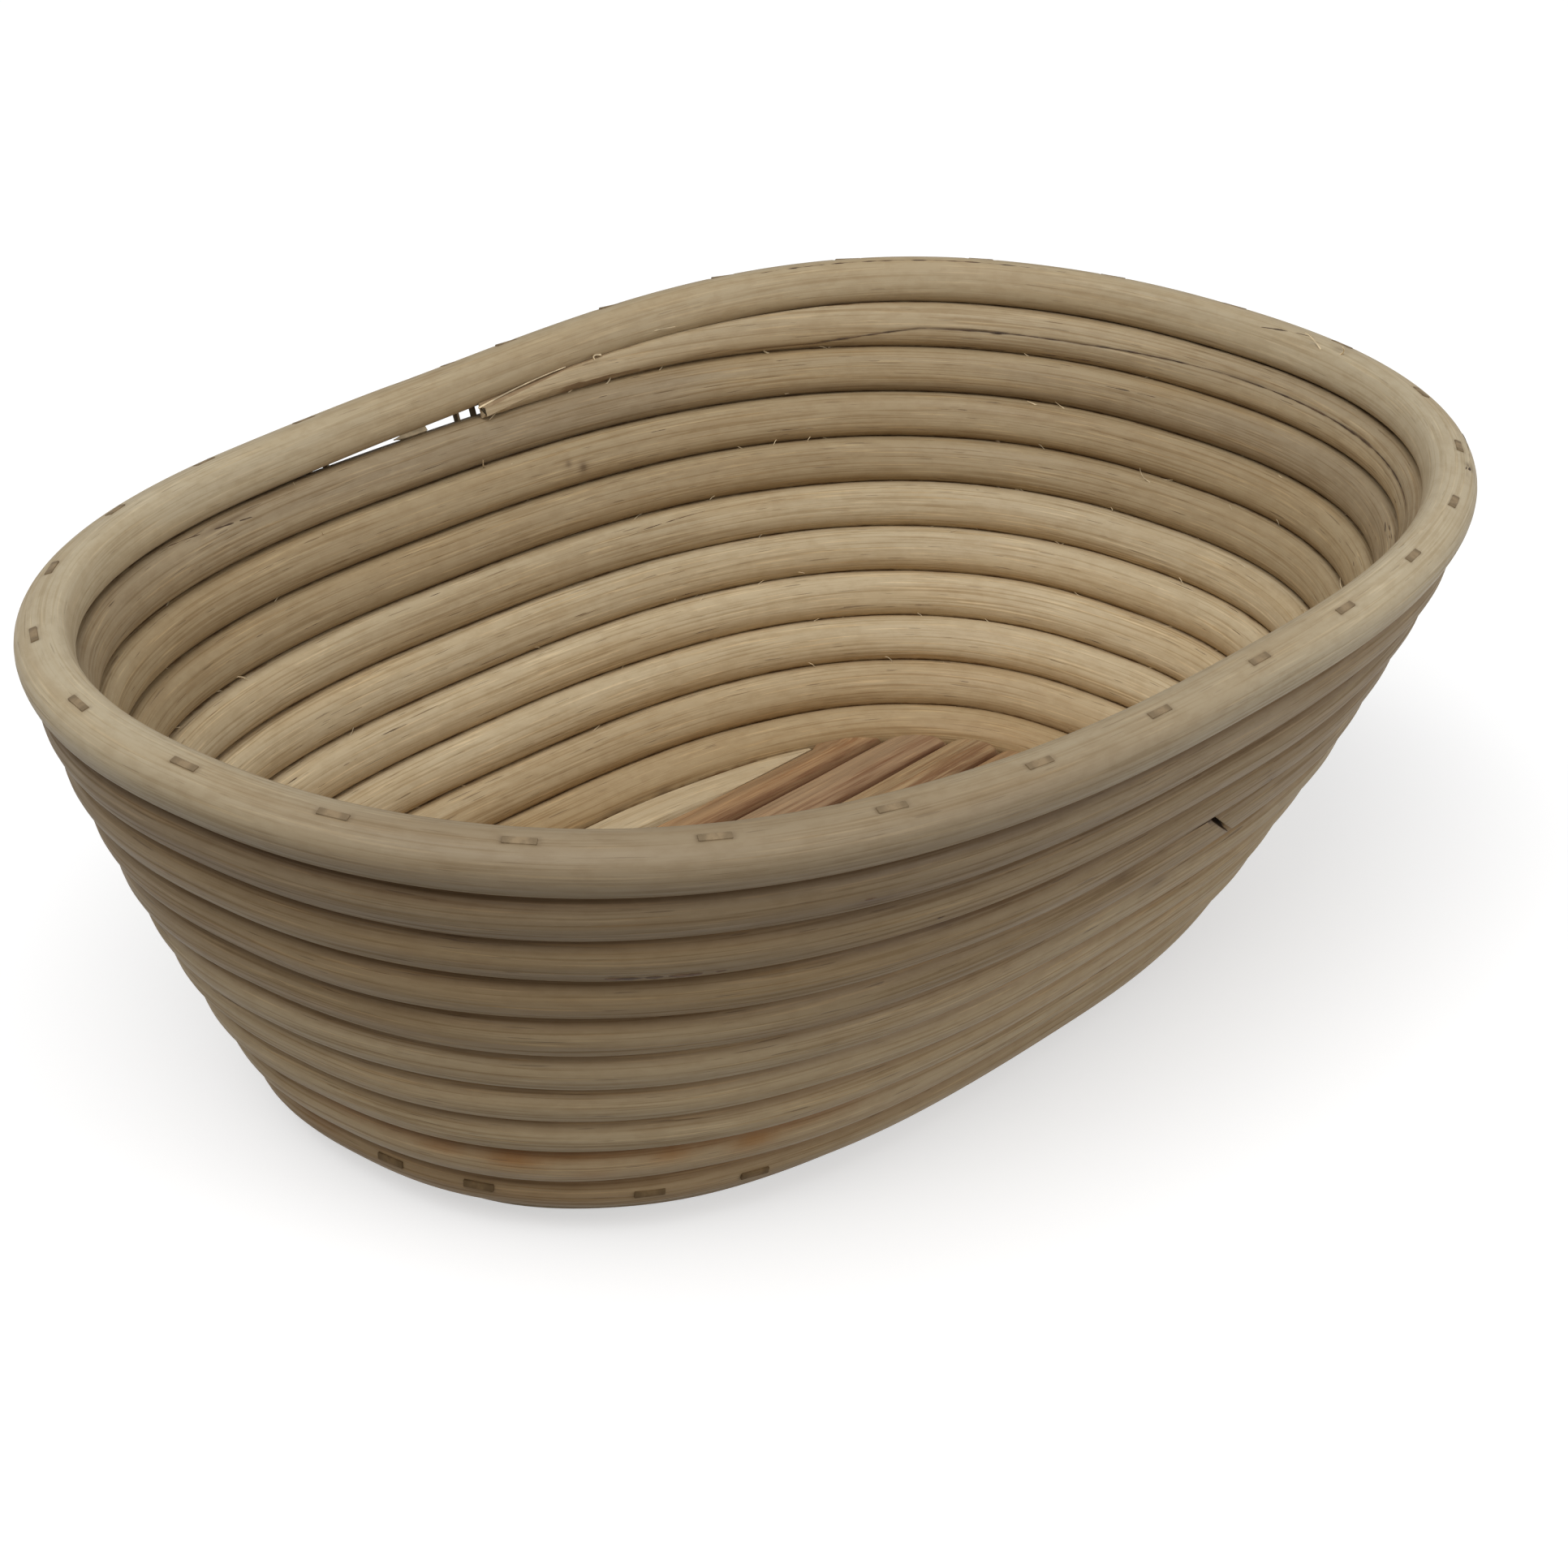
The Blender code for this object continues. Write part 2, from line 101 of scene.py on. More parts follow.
# Finer shape of the real canes
CANE_RADIUS = PITCH / 2
CANE_FULLNESS = 1.012
CANE_SWELLS = 0.007
CANE_SQUARENESS = 0.022
INNER_SQUARENESS = 0.030
CONTACT_OVERLAP = 0.00009
# Share of the way to a pressed flat where the painted shade of the groove begins
GROOVE_START = 0.50
MOST_SWELLING = 1.2
SWELLING_MARGIN = 1.02
RING_COUNTING_STEP = 0.0001
CLOSE_RING_SPACING = 0.0004
CLOSE_RING_REACH = 0.004
LOWER_CANE_SIDES = 28
UPPER_CANE_SIDES = 40
RIM_SIDES = 44
RIM_SIDE_CROWDING = 0.62
CANE_SHARP_DEGREES = 38.0
RIM_GROWTH = 31.0
UP = np.array((0.0, 0.0, 1.0))

# Where along its grain each piece was cut, so that no two look alike
LOWER_GRAIN = 0.0
UPPER_GRAIN = 5.0
RIM_GRAIN = 9.0
STRIP_GRAIN = 20.0

# Whittled ends, and the slit at the wall's lap joint
TIP_THICKNESS = 0.0014
START_TIP_WIDTH = 0.0006
START_TIP_TOP = 0.0031
FLOOR_EDGE = 0.0380
LAP_SLIT = 0.0010
LAP_SLIT_DEPTH = 0.0020
LAP_SLIT_SPREAD = 0.45
# Painted shade in the slit: its reach along the cane at the butt, and round the lap's end in turns
LAP_SLIT_SHADE = 0.0007
LAP_SHADE_TURNS = 0.010
LAP_SHADE_REACH = 1.6
LAP_SKEW = 1.45
LAP_SKEW_REACH = 0.024

# The slat that ends the spiral, the strand split off it, and the sliver caught beside it
SLAT_TURNS = 0.135
SLAT_BLEND_TURNS = 0.10
SLAT_TIP_TURNS = 0.030
SLAT_TIP_LENGTH = 0.006
SLAT_FRONT = 0.0044
SLAT_BOTTOM = -0.0050
SLAT_BELOW_RIM = 0.0033
SLAT_TIP_DEPTH = 0.0008
SLAT_LIP = 0.0015
SLAT_TIP_LIP = 0.0008
SLAT_POINT = 0.0016
SLAT_SQUARENESS = 0.42
SLAT_RAGGEDNESS = 0.00025
STRAND_START = 9.970
STRAND_END = 10.001
STRAND_BELOW_RIM = 0.0031
STRAND_DROP = 0.0012
STRAND_FRONT = 0.0037
STRAND_RADIUS = 0.00010
STRAND_POINTS = 12
SLIVER_START = 0.0119
SLIVER_END = 0.0170
SLIVER_OVERLAP = 0.0002
SLIVER_POINTS = 10

# The crack along the top turn: its path in turns and degrees, with more of the cane's sides beside it
CRACK_TURNS = (9.62, 9.76, 9.80, 9.845, 9.88, 9.985)
CRACK_DEGREES = (-80.0, -84.0, -101.0, -103.0, -140.0, -150.0)
CRACK_WIDTH = 0.045
CRACK_DEPTH = 0.00030
LEDGE_START = 0.10
LEDGE_WIDTH = 0.9
LEDGE_DEPTH = 0.00014
CROWDED_ANGLE = math.radians(-110.0)
CRACK_SIDE_CROWDING = 0.6

# Floor strips
STRIP_SIDES = 36
STRIP_CUTS = 9
STRIP_SPREAD = 0.00018
STRIP_SQUARENESS = 0.42
STRIP_TOP_SQUARENESS = 0.55
STRIP_CROWN = 0.0070
STRIP_END_CROWN = 0.0075
STRIP_END_REACH = 0.030
STRIP_END_ROUND = 0.0025
STRIP_END_DROP = 0.0007
STRIP_EDGE_DROP = 0.0006
STRIP_LAST_RISE = 0.0014
STRIP_WAVE = 0.00018
STRIP_LEAST_WIDTH = 0.0004
STRIP_LAP_REACH = 0.02
STRIP_CUT_REACH = 0.005
STRIP_SHARP_DEGREES = 42.0

# Staples, and the dents that they press into the rim
STAPLE_PROUD = 0.00005
FOOT_STAPLE_PROUD = 0.00025
WALL_STAPLE_LIFT = 0.00040
FLOOR_STAPLE_LIFT = 0.00060
STAPLE_ROUNDING = 0.00014
STAPLE_MARGIN = 0.0001
STAPLE_SHARP_DEGREES = 40.0
DENT_HALF_LENGTH = 0.0029
DENT_HALF_WIDTH = 0.00105
DENT_REACH = 0.006
DENT_END_FADE = 0.0006
DENT_SIDE_FADE = 0.0005
DENT_LEG_PLACE = 0.0023
DENT_LEG_REACH = 0.0011
DENT_STAIN_HALF_WIDTH = 0.0012
DENT_STAIN_FADE = 0.0007

# Loose fibres, drying cracks and short checks, with the ranges that the random ones are drawn from
FIBRE_STEPS = 9
FIBRE_ROOT_DEPTH = 0.0002
FIBRE_SHARP_DEGREES = 60.0
PLAIN_FIBRE_THICKNESS = 1.8
SMALL_FIBRE_THICKNESS = 1.1
FIBRE_TURNS = (1.5, WALL_TURNS - 0.05)
FIBRE_LENGTHS = (0.0015, 0.006)
FIBRE_LIFTS = (0.1, 0.7)
UPPER_GROOVE = (-0.9, -0.3)
LOWER_GROOVE = (-2.9, -2.5)
CRACK_STEP = 0.0012
CHECK_POINTS = 12
CHECK_TURNS = (1.5, WALL_TURNS - 0.1)
CHECK_LENGTHS = (0.003, 0.013)
CHECK_DIRECTIONS = (-2.6, -0.5)
CHECK_HALF_WIDTHS = (0.00004, 0.00008)

# Directions round a cane's section, from the side that faces the next turn up
OUTWARD = math.pi / 2
DOWNWARD = math.pi
INWARD = -math.pi / 2

# Rim staples driven to one side of their even places, by part of a turn
RIM_STAPLE_NUDGES = {1: -0.0114}

# Staples that show low on the wall: their turn, and their direction round the cane
FOOT_STAPLES = (
    (1.2768, math.radians(54.0)),
    (1.3096, math.radians(54.0)),
    (1.3686, math.radians(66.0)),
    (1.4069, math.radians(72.0)),
)

# Dark spots: their turn, direction round the cane in degrees, length, width and depth of tone
WALL_BRUISES = (
    (1.000, -144.0, 0.0030, 0.0009, 0.7),
    (0.982, -138.0, 0.0020, 0.0008, 0.6),
    (5.514, 48.0, 0.0030, 0.0008, 0.5),
    (6.499, 42.0, 0.0030, 0.0008, 0.5),
    (7.434, 29.0, 0.0040, 0.0008, 0.6),
    (7.536, 96.0, 0.0025, 0.0008, 0.6),
    (7.973, -108.0, 0.0010, 0.0009, 0.8),
    (7.978, -90.0, 0.0008, 0.0007, 0.6),
    (9.083, -54.0, 0.0080, 0.0004, 0.7),
    (9.406, 102.0, 0.0040, 0.0008, 0.6),
    (9.483, 18.0, 0.0030, 0.0008, 0.6),
)
RIM_BRUISES = (
    (1.649, 24.0, 0.0008, 0.0010, 1.0),
    (0.649, 24.0, 0.0008, 0.0010, 1.0),
    (1.643, 8.0, 0.0012, 0.0006, 0.4),
    (0.727, -40.0, 0.0015, 0.0006, 0.4),
)

# Brown damp marks low on the wall, given as the dark spots are
DAMP_MARKS = (
    (1.252, 40.0, 0.0060, 0.0020, 0.5),
    (1.350, 60.0, 0.0500, 0.0040, 0.15),
    (2.270, 34.0, 0.0080, 0.0010, 0.6),
    (2.285, 34.0, 0.0080, 0.0010, 0.6),
    (2.301, 45.0, 0.0040, 0.0015, 0.7),
    (2.324, 44.0, 0.0045, 0.0022, 1.0),
    (2.340, 36.0, 0.0100, 0.0010, 0.8),
    (2.348, 84.0, 0.0040, 0.0012, 0.5),
    (2.350, 80.0, 0.0400, 0.0040, 0.2),
    (2.357, 36.0, 0.0100, 0.0010, 0.7),
    (2.373, 44.0, 0.0040, 0.0020, 0.9),
    (2.388, 38.0, 0.0060, 0.0010, 0.8),
    (2.401, 50.0, 0.0045, 0.0024, 1.0),
    (2.413, 40.0, 0.0080, 0.0012, 0.8),
    (2.424, 40.0, 0.0080, 0.0010, 0.6),
)

# Fine dark drying cracks: their cane, first and last turn, directions there in degrees, and half width
DRYING_CRACKS = (
    ("wall", 9.0720, 9.0910, -66.0, -52.0, 0.00018),
    ("wall", 9.0910, 9.1130, -52.0, -30.0, 0.00011),
    ("wall", 9.6550, 9.7600, -81.0, -84.0, 0.00015),
    ("wall", 9.7600, 9.8000, -84.0, -101.0, 0.00013),
    ("wall", 9.8000, 9.8450, -101.0, -103.0, 0.00013),
    ("wall", 9.8450, 9.8820, -103.0, -142.0, 0.00012),
    ("wall", 9.7900, 9.8150, -138.0, -150.0, 0.00012),
    ("wall", 9.8150, 9.8520, -150.0, -160.0, 0.00012),
    ("wall", 8.7700, 8.7950, -75.0, -80.0, 0.00010),
    ("wall", 7.8800, 7.9050, -120.0, -115.0, 0.00009),
    ("wall", 5.9300, 5.9600, -60.0, -70.0, 0.00009),
    ("wall", 6.2500, 6.2800, -110.0, -104.0, 0.00009),
    ("wall", 8.3410, 8.3760, 110.0, 110.0, 0.00042),
    ("wall", 9.4020, 9.4062, 92.0, 92.0, 0.00036),
    ("wall", 8.4262, 8.4306, 96.0, 96.0, 0.00036),
    ("wall", 7.5350, 7.5388, 102.0, 102.0, 0.00030),
    ("rim", 0.8000, 0.9100, -43.0, -38.0, 0.00014),
    ("rim", 0.7350, 0.7540, -36.0, -66.0, 0.00014),
    ("rim", 0.6455, 0.6505, 17.0, 26.0, 0.00040),
    ("rim", 0.6430, 0.6480, 8.0, 12.0, 0.00016),
    ("wall", 8.6600, 8.6680, -63.0, -55.0, 0.00012),
    ("wall", 8.6560, 8.6640, -52.0, -50.0, 0.00009),
    ("wall", 7.6680, 7.6750, -76.0, -67.0, 0.00011),
)

# Loose fibres that show plainly: their turn, direction in degrees, length, lift and way along the cane
WALL_FIBRES = (
    (9.946, -60.0, 0.0110, 0.25, -1.0),
    (9.957, -84.0, 0.0040, 0.70, 1.0),
    (8.958, -36.0, 0.0050, 0.90, -1.0),
    (8.000, -29.0, 0.0050, 0.80, 1.0),
    (8.891, -24.0, 0.0040, 0.60, 1.0),
    (6.815, -158.0, 0.0060, 0.90, 1.0),
    (6.815, -158.0, 0.0055, 0.80, -1.0),
    (6.853, -165.0, 0.0035, 0.60, 1.0),
    (7.806, -42.0, 0.0045, 0.40, 1.0),
    (9.830, -6.0, 0.0045, 0.40, -1.0),
    (1.000, -144.0, 0.0060, 0.70, 1.0),
    (1.001, -140.0, 0.0050, 0.90, -1.0),
    (0.982, -138.0, 0.0030, 0.60, 1.0),
)
RIM_FIBRES = (
    (0.7289, -66.0, 0.0065, 0.80, 1.0),
    (0.7275, -58.0, 0.0045, 0.90, -1.0),
)

# Camera, as it stood when the basket was photographed
CAMERA_AZIMUTH = -0.911742
CAMERA_ELEVATION = 0.456324
CAMERA_ROLL = 0.048706
CAMERA_DISTANCE = 70.12456 * PITCH
CAMERA_TARGET = np.array((0.420813, 0.130216, 3.854235)) * PITCH
FOCAL_PIXELS = 4400.674
IMAGE_WIDTH = 1932
SENSOR_WIDTH = 36.0
NEAREST_SEEN = 0.01
FURTHEST_SEEN = 50.0

# Stage: each light's place to the left of the basket's middle, before it and above it, and its size
BASKET_MIDDLE = np.array((0.0, 0.0, 0.04))
KEY_PLACE = (0.6, 1.70, 2.75)
KEY_SIZE = 2.2
SIDE_PLACE = (-2.4, 0.9, 0.75)
SIDE_SIZE = 1.4
FLOOR_SIZE = 12.0
FLOOR_SHADE = 0.6
UNSEEN_FLOOR = (0.18, 0.17, 0.165, 1.0)
WORLD_COLOUR = (1.0, 1.0, 1.0, 1.0)


# Settings

def colour_setting(name, description, default):
    return bpy.props.FloatVectorProperty(
        name=name, description=description, default=default, size=3, min=0.0, max=1.0, subtype="COLOR"
    )


def length_setting(name, description, default, least, most, precision):
    return bpy.props.FloatProperty(
        name=name, description=description, default=default, min=least, max=most,
        unit="LENGTH", precision=precision,
    )


def count_setting(name, description, default, most):
    return bpy.props.IntProperty(name=name, description=description, default=default, min=0, max=most)


def power_setting(name, description, default):
    return bpy.props.FloatProperty(
        name=name, description=description, default=default, min=0.0, max=400.0, unit="POWER"
    )


class CaneSettings(bpy.types.PropertyGroup):
    unevenness: length_setting(
        "Unevenness", "How far the line between two turns wanders", 0.00014, 0.0, 0.0006, 5)
    sway: length_setting("Sway", "How far a cane stands in or out of the wall", 0.00020, 0.0, 0.0008, 5)
    ring_spacing: length_setting(
        "Ring spacing", "Length of cane between two rings of faces", 0.0017, 0.001, 0.01, 4)
    pale: colour_setting("Pale straw", "Colour of the lightest stretches of cane", (0.590, 0.477, 0.306))
    grey: colour_setting("Grey straw", "Colour of the weathered upper turns", (0.388, 0.297, 0.174))
    dun: colour_setting("Dun cane", "Colour of the turn below the top one", (0.325, 0.252, 0.156))
    straw: colour_setting("Top straw", "Colour of the top turn", (0.440, 0.347, 0.216))
    warm: colour_setting("Warm straw", "Colour of the lowest turns", (0.440, 0.318, 0.172))
    # This colour also paints the shade in the lap's slit
    stain_and_shade: colour_setting("Stain", "Colour of pores, grooves and bruises", (0.090, 0.048, 0.022))


class RimSettings(bpy.types.PropertyGroup):
    pale: colour_setting("Pale rim", "Colour of the rim's two ends", (0.500, 0.418, 0.282))
    straw: colour_setting("Rim straw", "Colour of the rim's far side", (0.430, 0.343, 0.216))
    # The stretch of rim nearest the camera is given a darker colour here: painted shade
    near_shade: colour_setting("Shaded straw", "Colour of the rim's most shadowed stretch", (0.305, 0.235, 0.145))
    dent: length_setting(
        "Staple dent", "How deep the staples are driven into the rim", 0.00016, 0.0, 0.001, 5)


class FloorSettings(bpy.types.PropertyGroup):
    brown: colour_setting("Red brown", "Colour of the darkest strips", (0.362, 0.224, 0.114))
    rose: colour_setting("Rose brown", "Colour of the pinkish strips", (0.392, 0.262, 0.152))
    tan: colour_setting("Tan", "Colour of the palest strips", (0.402, 0.280, 0.154))
    # This colour paints the shade in the seams between strips and part of one flank's shade, besides the
    # real bark
    stain_and_shade: colour_setting(
        "Red stain", "Colour of the strips' bark and of the seams between them", (0.145, 0.058, 0.026))


class StapleSettings(bpy.types.PropertyGroup):
    wire_width: length_setting("Wire width", "Width of the flat staple wire", 0.0012, 0.0005, 0.003, 4)
    wire_thickness: length_setting(
        "Wire thickness", "Thickness of the flat staple wire", 0.0006, 0.0002, 0.002, 4)
    wire: colour_setting("Wire", "Colour of the dull wire in the rim", (0.310, 0.228, 0.136))
    rust: colour_setting(
        "Rusty wire", "Colour of the wire in the wall and the floor", (0.110, 0.070, 0.038))
    brown: colour_setting("Brown wire", "Colour of the wire low on the wall", (0.215, 0.140, 0.068))


class FibreSettings(bpy.types.PropertyGroup):
    count: count_setting("Fibres", "Number of loose fibres along the grooves", 240, 600)
    thickness: length_setting(
        "Thickness", "Radius of a loose fibre at its root", 0.00013, 0.00002, 0.0003, 6)
    checks: count_setting("Checks", "Number of short dark checks along the grain", 160, 600)
    seed: count_setting("Seed", "Start of the random draws", 7, 9999)


class StageSettings(bpy.types.PropertyGroup):
    floor: colour_setting("Floor", "Colour of the floor as the camera sees it", (1.0, 1.0, 1.0))
    glow: bpy.props.FloatProperty(
        name="Floor glow", description="Share of the floor's white that no shadow dims",
        default=0.55, min=0.0, max=0.9, subtype="FACTOR",
    )
    key_power: power_setting("Key light", "Power of the soft light high in front", 69.0)
    side_power: power_setting("Side light", "Power of the weak soft light at the right", 17.0)
    world: bpy.props.FloatProperty(
        name="Fill", description="Strength of the even light from all round",
        default=0.41, min=0.0, max=2.0,
    )


# The winding

def smooth_step(value):
    value = np.clip(value, 0.0, 1.0)
    return value * value * (3 - 2 * value)


def signed_power(value, power):
    return np.sign(value) * np.abs(value) ** power


def wall_slope(level):
    """Slope of the wall: flat under the first turn, then steeper with every turn."""
    share = np.clip(level / (WALL_TURNS + 1), 0.0, 1.0)
    climb = FOOT_SLOPE + (RIM_SLOPE - FOOT_SLOPE) * share
    return climb * smooth_step((level - FOOT_BEND_START) / (FOOT_BEND_END - FOOT_BEND_START))


def wall_profile():
    """How far out and up each level of the wall lies."""
    levels = np.linspace(-1.0, WALL_TURNS + 2.0, PROFILE_STEPS)
    slope = wall_slope(levels)
    bend = np.gradient(slope, levels)
    corner = np.cos(bend / 2) + OCTAGON_CORNER * np.sin(bend / 2)
    spacing = (CANE_DIAMETER * corner + TURN_GAP) * (1 + bend ** 2 / 24)
    step = spacing * np.gradient(levels)
    reach = np.cumsum(np.cos(slope) * step)
    height = np.cumsum(np.sin(slope) * step)
    return levels, reach - np.interp(0, levels, reach), height - np.interp(0, levels, height)


LEVELS, REACH, HEIGHT = wall_profile()


def wall_level(turns):
    return turns


def rim_level(turns):
    """The rim follows the top turn and steps down by one cane round the spiral's tip."""
    past_tip = (turns + 0.5) % 1.0 - 0.5
    step = (past_tip + RIM_STEP_BEFORE_TIP) / (RIM_STEP_BEFORE_TIP + RIM_STEP_AFTER_TIP)
    return WALL_TURNS + past_tip + 1.0 - smooth_step(step)


class Winding:
    """Many places on the winding: their centres, and the directions along, up and out of the wall."""

    def __init__(self, turns, levels):
        turns = np.asarray(turns, float)
        levels = np.asarray(levels, float)
        angle = TIP_ANGLE + math.tau * turns
        cosine, sine = np.cos(angle), np.sin(angle)
        power = 2 / OVAL_POWER
        half_length, half_width = FIRST_TURN_LENGTH / 2, FIRST_TURN_WIDTH / 2
        x = half_length * signed_power(cosine, power)
        y = half_width * signed_power(sine, power)
        normal_x = signed_power(cosine, 2 - power) / half_length
        normal_y = signed_power(sine, 2 - power) / half_width
        length = np.hypot(normal_x, normal_y)
        flat = np.zeros_like(x)
        self.slope = wall_slope(levels)
        self.out = np.stack((normal_x / length, normal_y / length, flat), axis=-1)
        self.along = np.stack((-self.out[..., 1], self.out[..., 0], flat), axis=-1)
        cos_slope, sin_slope = np.cos(self.slope)[..., None], np.sin(self.slope)[..., None]
        self.rise = self.out * cos_slope + UP * sin_slope
        self.face = self.out * sin_slope - UP * cos_slope
        self.centre = (
            np.stack((x, y, flat + PITCH / 2), axis=-1)
            + self.out * np.interp(levels, LEVELS, REACH)[..., None]
            + UP * np.interp(levels, LEVELS, HEIGHT)[..., None]
            - RIM_MIDDLE
        )

    def radial(self, angles):
        """Directions straight out of the cane, at these angles round its section."""
        return self.rise * np.cos(angles)[..., None] + self.face * np.sin(angles)[..., None]


class CanePath:
    """The line that one length of cane is wound on, measured along the cane."""

    def __init__(self, start, end, level_of):
        self.level_of = level_of
        self.turns = np.linspace(start, end, int(1 + (end - start) * PATH_STEPS))
        centres = Winding(self.turns, level_of(self.turns)).centre
        steps = np.linalg.norm(np.diff(centres, axis=0), axis=1)
        self.stations = np.concatenate(([0.0], np.cumsum(steps)))
        self.length = float(self.stations[-1])

    def turn_at(self, station):
        return np.interp(station, self.stations, self.turns)

    def station_of(self, turn):
        return np.interp(turn, self.turns, self.stations)

    def places(self, turns):
        return Winding(turns, self.level_of(turns))


def turn_after(turn, length, level_of):
    """The turn number this length of cane further on."""
    path = CanePath(turn, turn + 1.0, level_of)
    return float(path.turn_at(length))


WALL_LAP_END = turn_after(WALL_LAP_TURN, WALL_LAP_LENGTH, wall_level)
RIM_LAP_END = turn_after(RIM_LAP_TURN, RIM_LAP_LENGTH, rim_level)
START_FULL_TURN = turn_after(START_TURN, START_TAPER, wall_level)
WALL_LAP = (WALL_LAP_TURN, WALL_LAP_END)
RIM_LAP = (RIM_LAP_TURN, RIM_LAP_END)


def wander(turns, waves, shift):
    """A smooth, fixed wander between about -1 and 1, with no rhythm that the eye can follow."""
    total = np.zeros_like(turns)
    for number, wave in enumerate(waves):
        total += np.sin(math.tau * wave * turns + shift + 2.4 * number) / len(waves)
    return total


def wall_sway(turns, sway):
    return sway * wander(turns, (2.71, 6.43, 11.3), 0.2)


def rim_sway(turns, sway):
    return 0.5 * sway * wander(turns, (2.0, 5.0, 9.0), 1.1)


def boundary_wander(turns):
    """How the line between a turn and the next one up wanders, as a share of the unevenness."""
    return wander(turns, (3.37, 5.81, 9.13, 14.71), 0.6)


# Making meshes

def deselect_all():
    bpy.ops.object.select_all(action="DESELECT")


def select_only(piece):
    deselect_all()
    piece.select_set(True)
    bpy.context.view_layer.objects.active = piece


def vertex_places(mesh):
    places = np.empty(len(mesh.vertices) * 3)
    mesh.vertices.foreach_get("co", places)
    return places.reshape(-1, 3)


def set_vertex_places(mesh, places):
    mesh.vertices.foreach_set("co", np.ascontiguousarray(places, np.float32).ravel())
    mesh.update()


def store_vectors(mesh, name, values):
    """Keep three numbers with each vertex, for the finish to read."""
    attribute = mesh.attributes.new(name, "FLOAT_VECTOR", "POINT")
    attribute.data.foreach_set("vector", np.ascontiguousarray(values, np.float32).ravel())


def store_numbers(mesh, name, values):
    attribute = mesh.attributes.new(name, "FLOAT", "POINT")
    attribute.data.foreach_set("value", np.ascontiguousarray(values, np.float32))


def select_lengthwise_edges(mesh, least):
    """Select the edges that run along a straight cane, and nothing else."""
    bpy.context.tool_settings.mesh_select_mode = (False, True, False)
    bpy.ops.object.mode_set(mode="EDIT")
    bpy.ops.mesh.select_all(action="DESELECT")
    bpy.ops.object.mode_set(mode="OBJECT")
    ends = np.empty(len(mesh.edges) * 2, int)
    mesh.edges.foreach_get("vertices", ends)
    ends = ends.reshape(-1, 2)
    x = vertex_places(mesh)[:, 0]
    mesh.edges.foreach_set("select", np.abs(x[ends[:, 0]] - x[ends[:, 1]]) > least)


def straight_cane(name, cuts, sides):
    """A straight cane, one unit long along X, and each vertex's ring number and angle round it."""
    deselect_all()
    bpy.ops.mesh.primitive_cylinder_add(
        vertices=sides, radius=1.0, depth=1.0, end_fill_type="NGON", rotation=(0, math.pi / 2, 0)
    )
    cane = bpy.context.object
    cane.name = name
    cane.data.name = name
    bpy.ops.object.transform_apply(location=True, rotation=True, scale=True)
    for least in (0.5, 0.5 / cuts):
        select_lengthwise_edges(cane.data, least)
        bpy.ops.object.mode_set(mode="EDIT")
        bpy.ops.mesh.subdivide(number_cuts=cuts - 1)
        bpy.ops.object.mode_set(mode="OBJECT")
    places = vertex_places(cane.data)
    rings = np.rint((places[:, 0] + 0.5) * cuts * cuts).astype(int)
    angles = np.arctan2(-places[:, 2], -places[:, 1])
    return cane, rings, angles


def ring_stations(length, spacing, close_places):
    """A station for each ring, closer together round some places. Their number is a square."""
    fine = np.linspace(0.0, length, int(length / RING_COUNTING_STEP) + 1)
    density = np.full_like(fine, 1.0 / spacing)
    for place in close_places:
        density[np.abs(fine - place) < CLOSE_RING_REACH] = 1.0 / CLOSE_RING_SPACING
    steps = (density[1:] + density[:-1]) / 2 * np.diff(fine)
    counted = np.concatenate(([0.0], np.cumsum(steps)))
    cuts = math.ceil(math.sqrt(counted[-1]))
    wanted = np.linspace(0.0, counted[-1], cuts * cuts + 1)
    return cuts, np.interp(wanted, counted, fine)


def wind_on(cane, path, turns, sway):
    """Bend a straight cane along its path with a Curve modifier."""
    places = path.places(turns)
    centres = places.centre + places.face * sway[:, None]
    deselect_all()
    bpy.ops.curve.primitive_nurbs_path_add()
    guide = bpy.context.object
    guide.data.splines.clear()
    line = guide.data.splines.new("POLY")
    line.points.add(len(turns) - 1)
    line.points.foreach_set("co", np.c_[centres, np.ones(len(turns))].astype(np.float32).ravel())
    line.points.foreach_set("tilt", -places.slope.astype(np.float32))
    guide.data.dimensions = "3D"
    guide.data.twist_mode = "Z_UP"
    select_only(cane)
    bend = cane.modifiers.new("wind", "CURVE")
    bend.object = guide
    bend.deform_axis = "POS_X"
    bpy.ops.object.modifier_apply(modifier=bend.name)
    curve_data = guide.data
    bpy.data.objects.remove(guide)
    bpy.data.curves.remove(curve_data)


def shade(piece, sharp_degrees):
    select_only(piece)
    bpy.ops.object.shade_smooth_by_angle(angle=math.radians(sharp_degrees))


def keep_piece(piece, nodes, material):
    """Give a finished piece its finish, and hand it to the frame."""
    piece.data.materials.clear()
    piece.data.materials.append(material)
    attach(piece, BODY)
    if nodes:
        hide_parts(*nodes)


# Cane sections

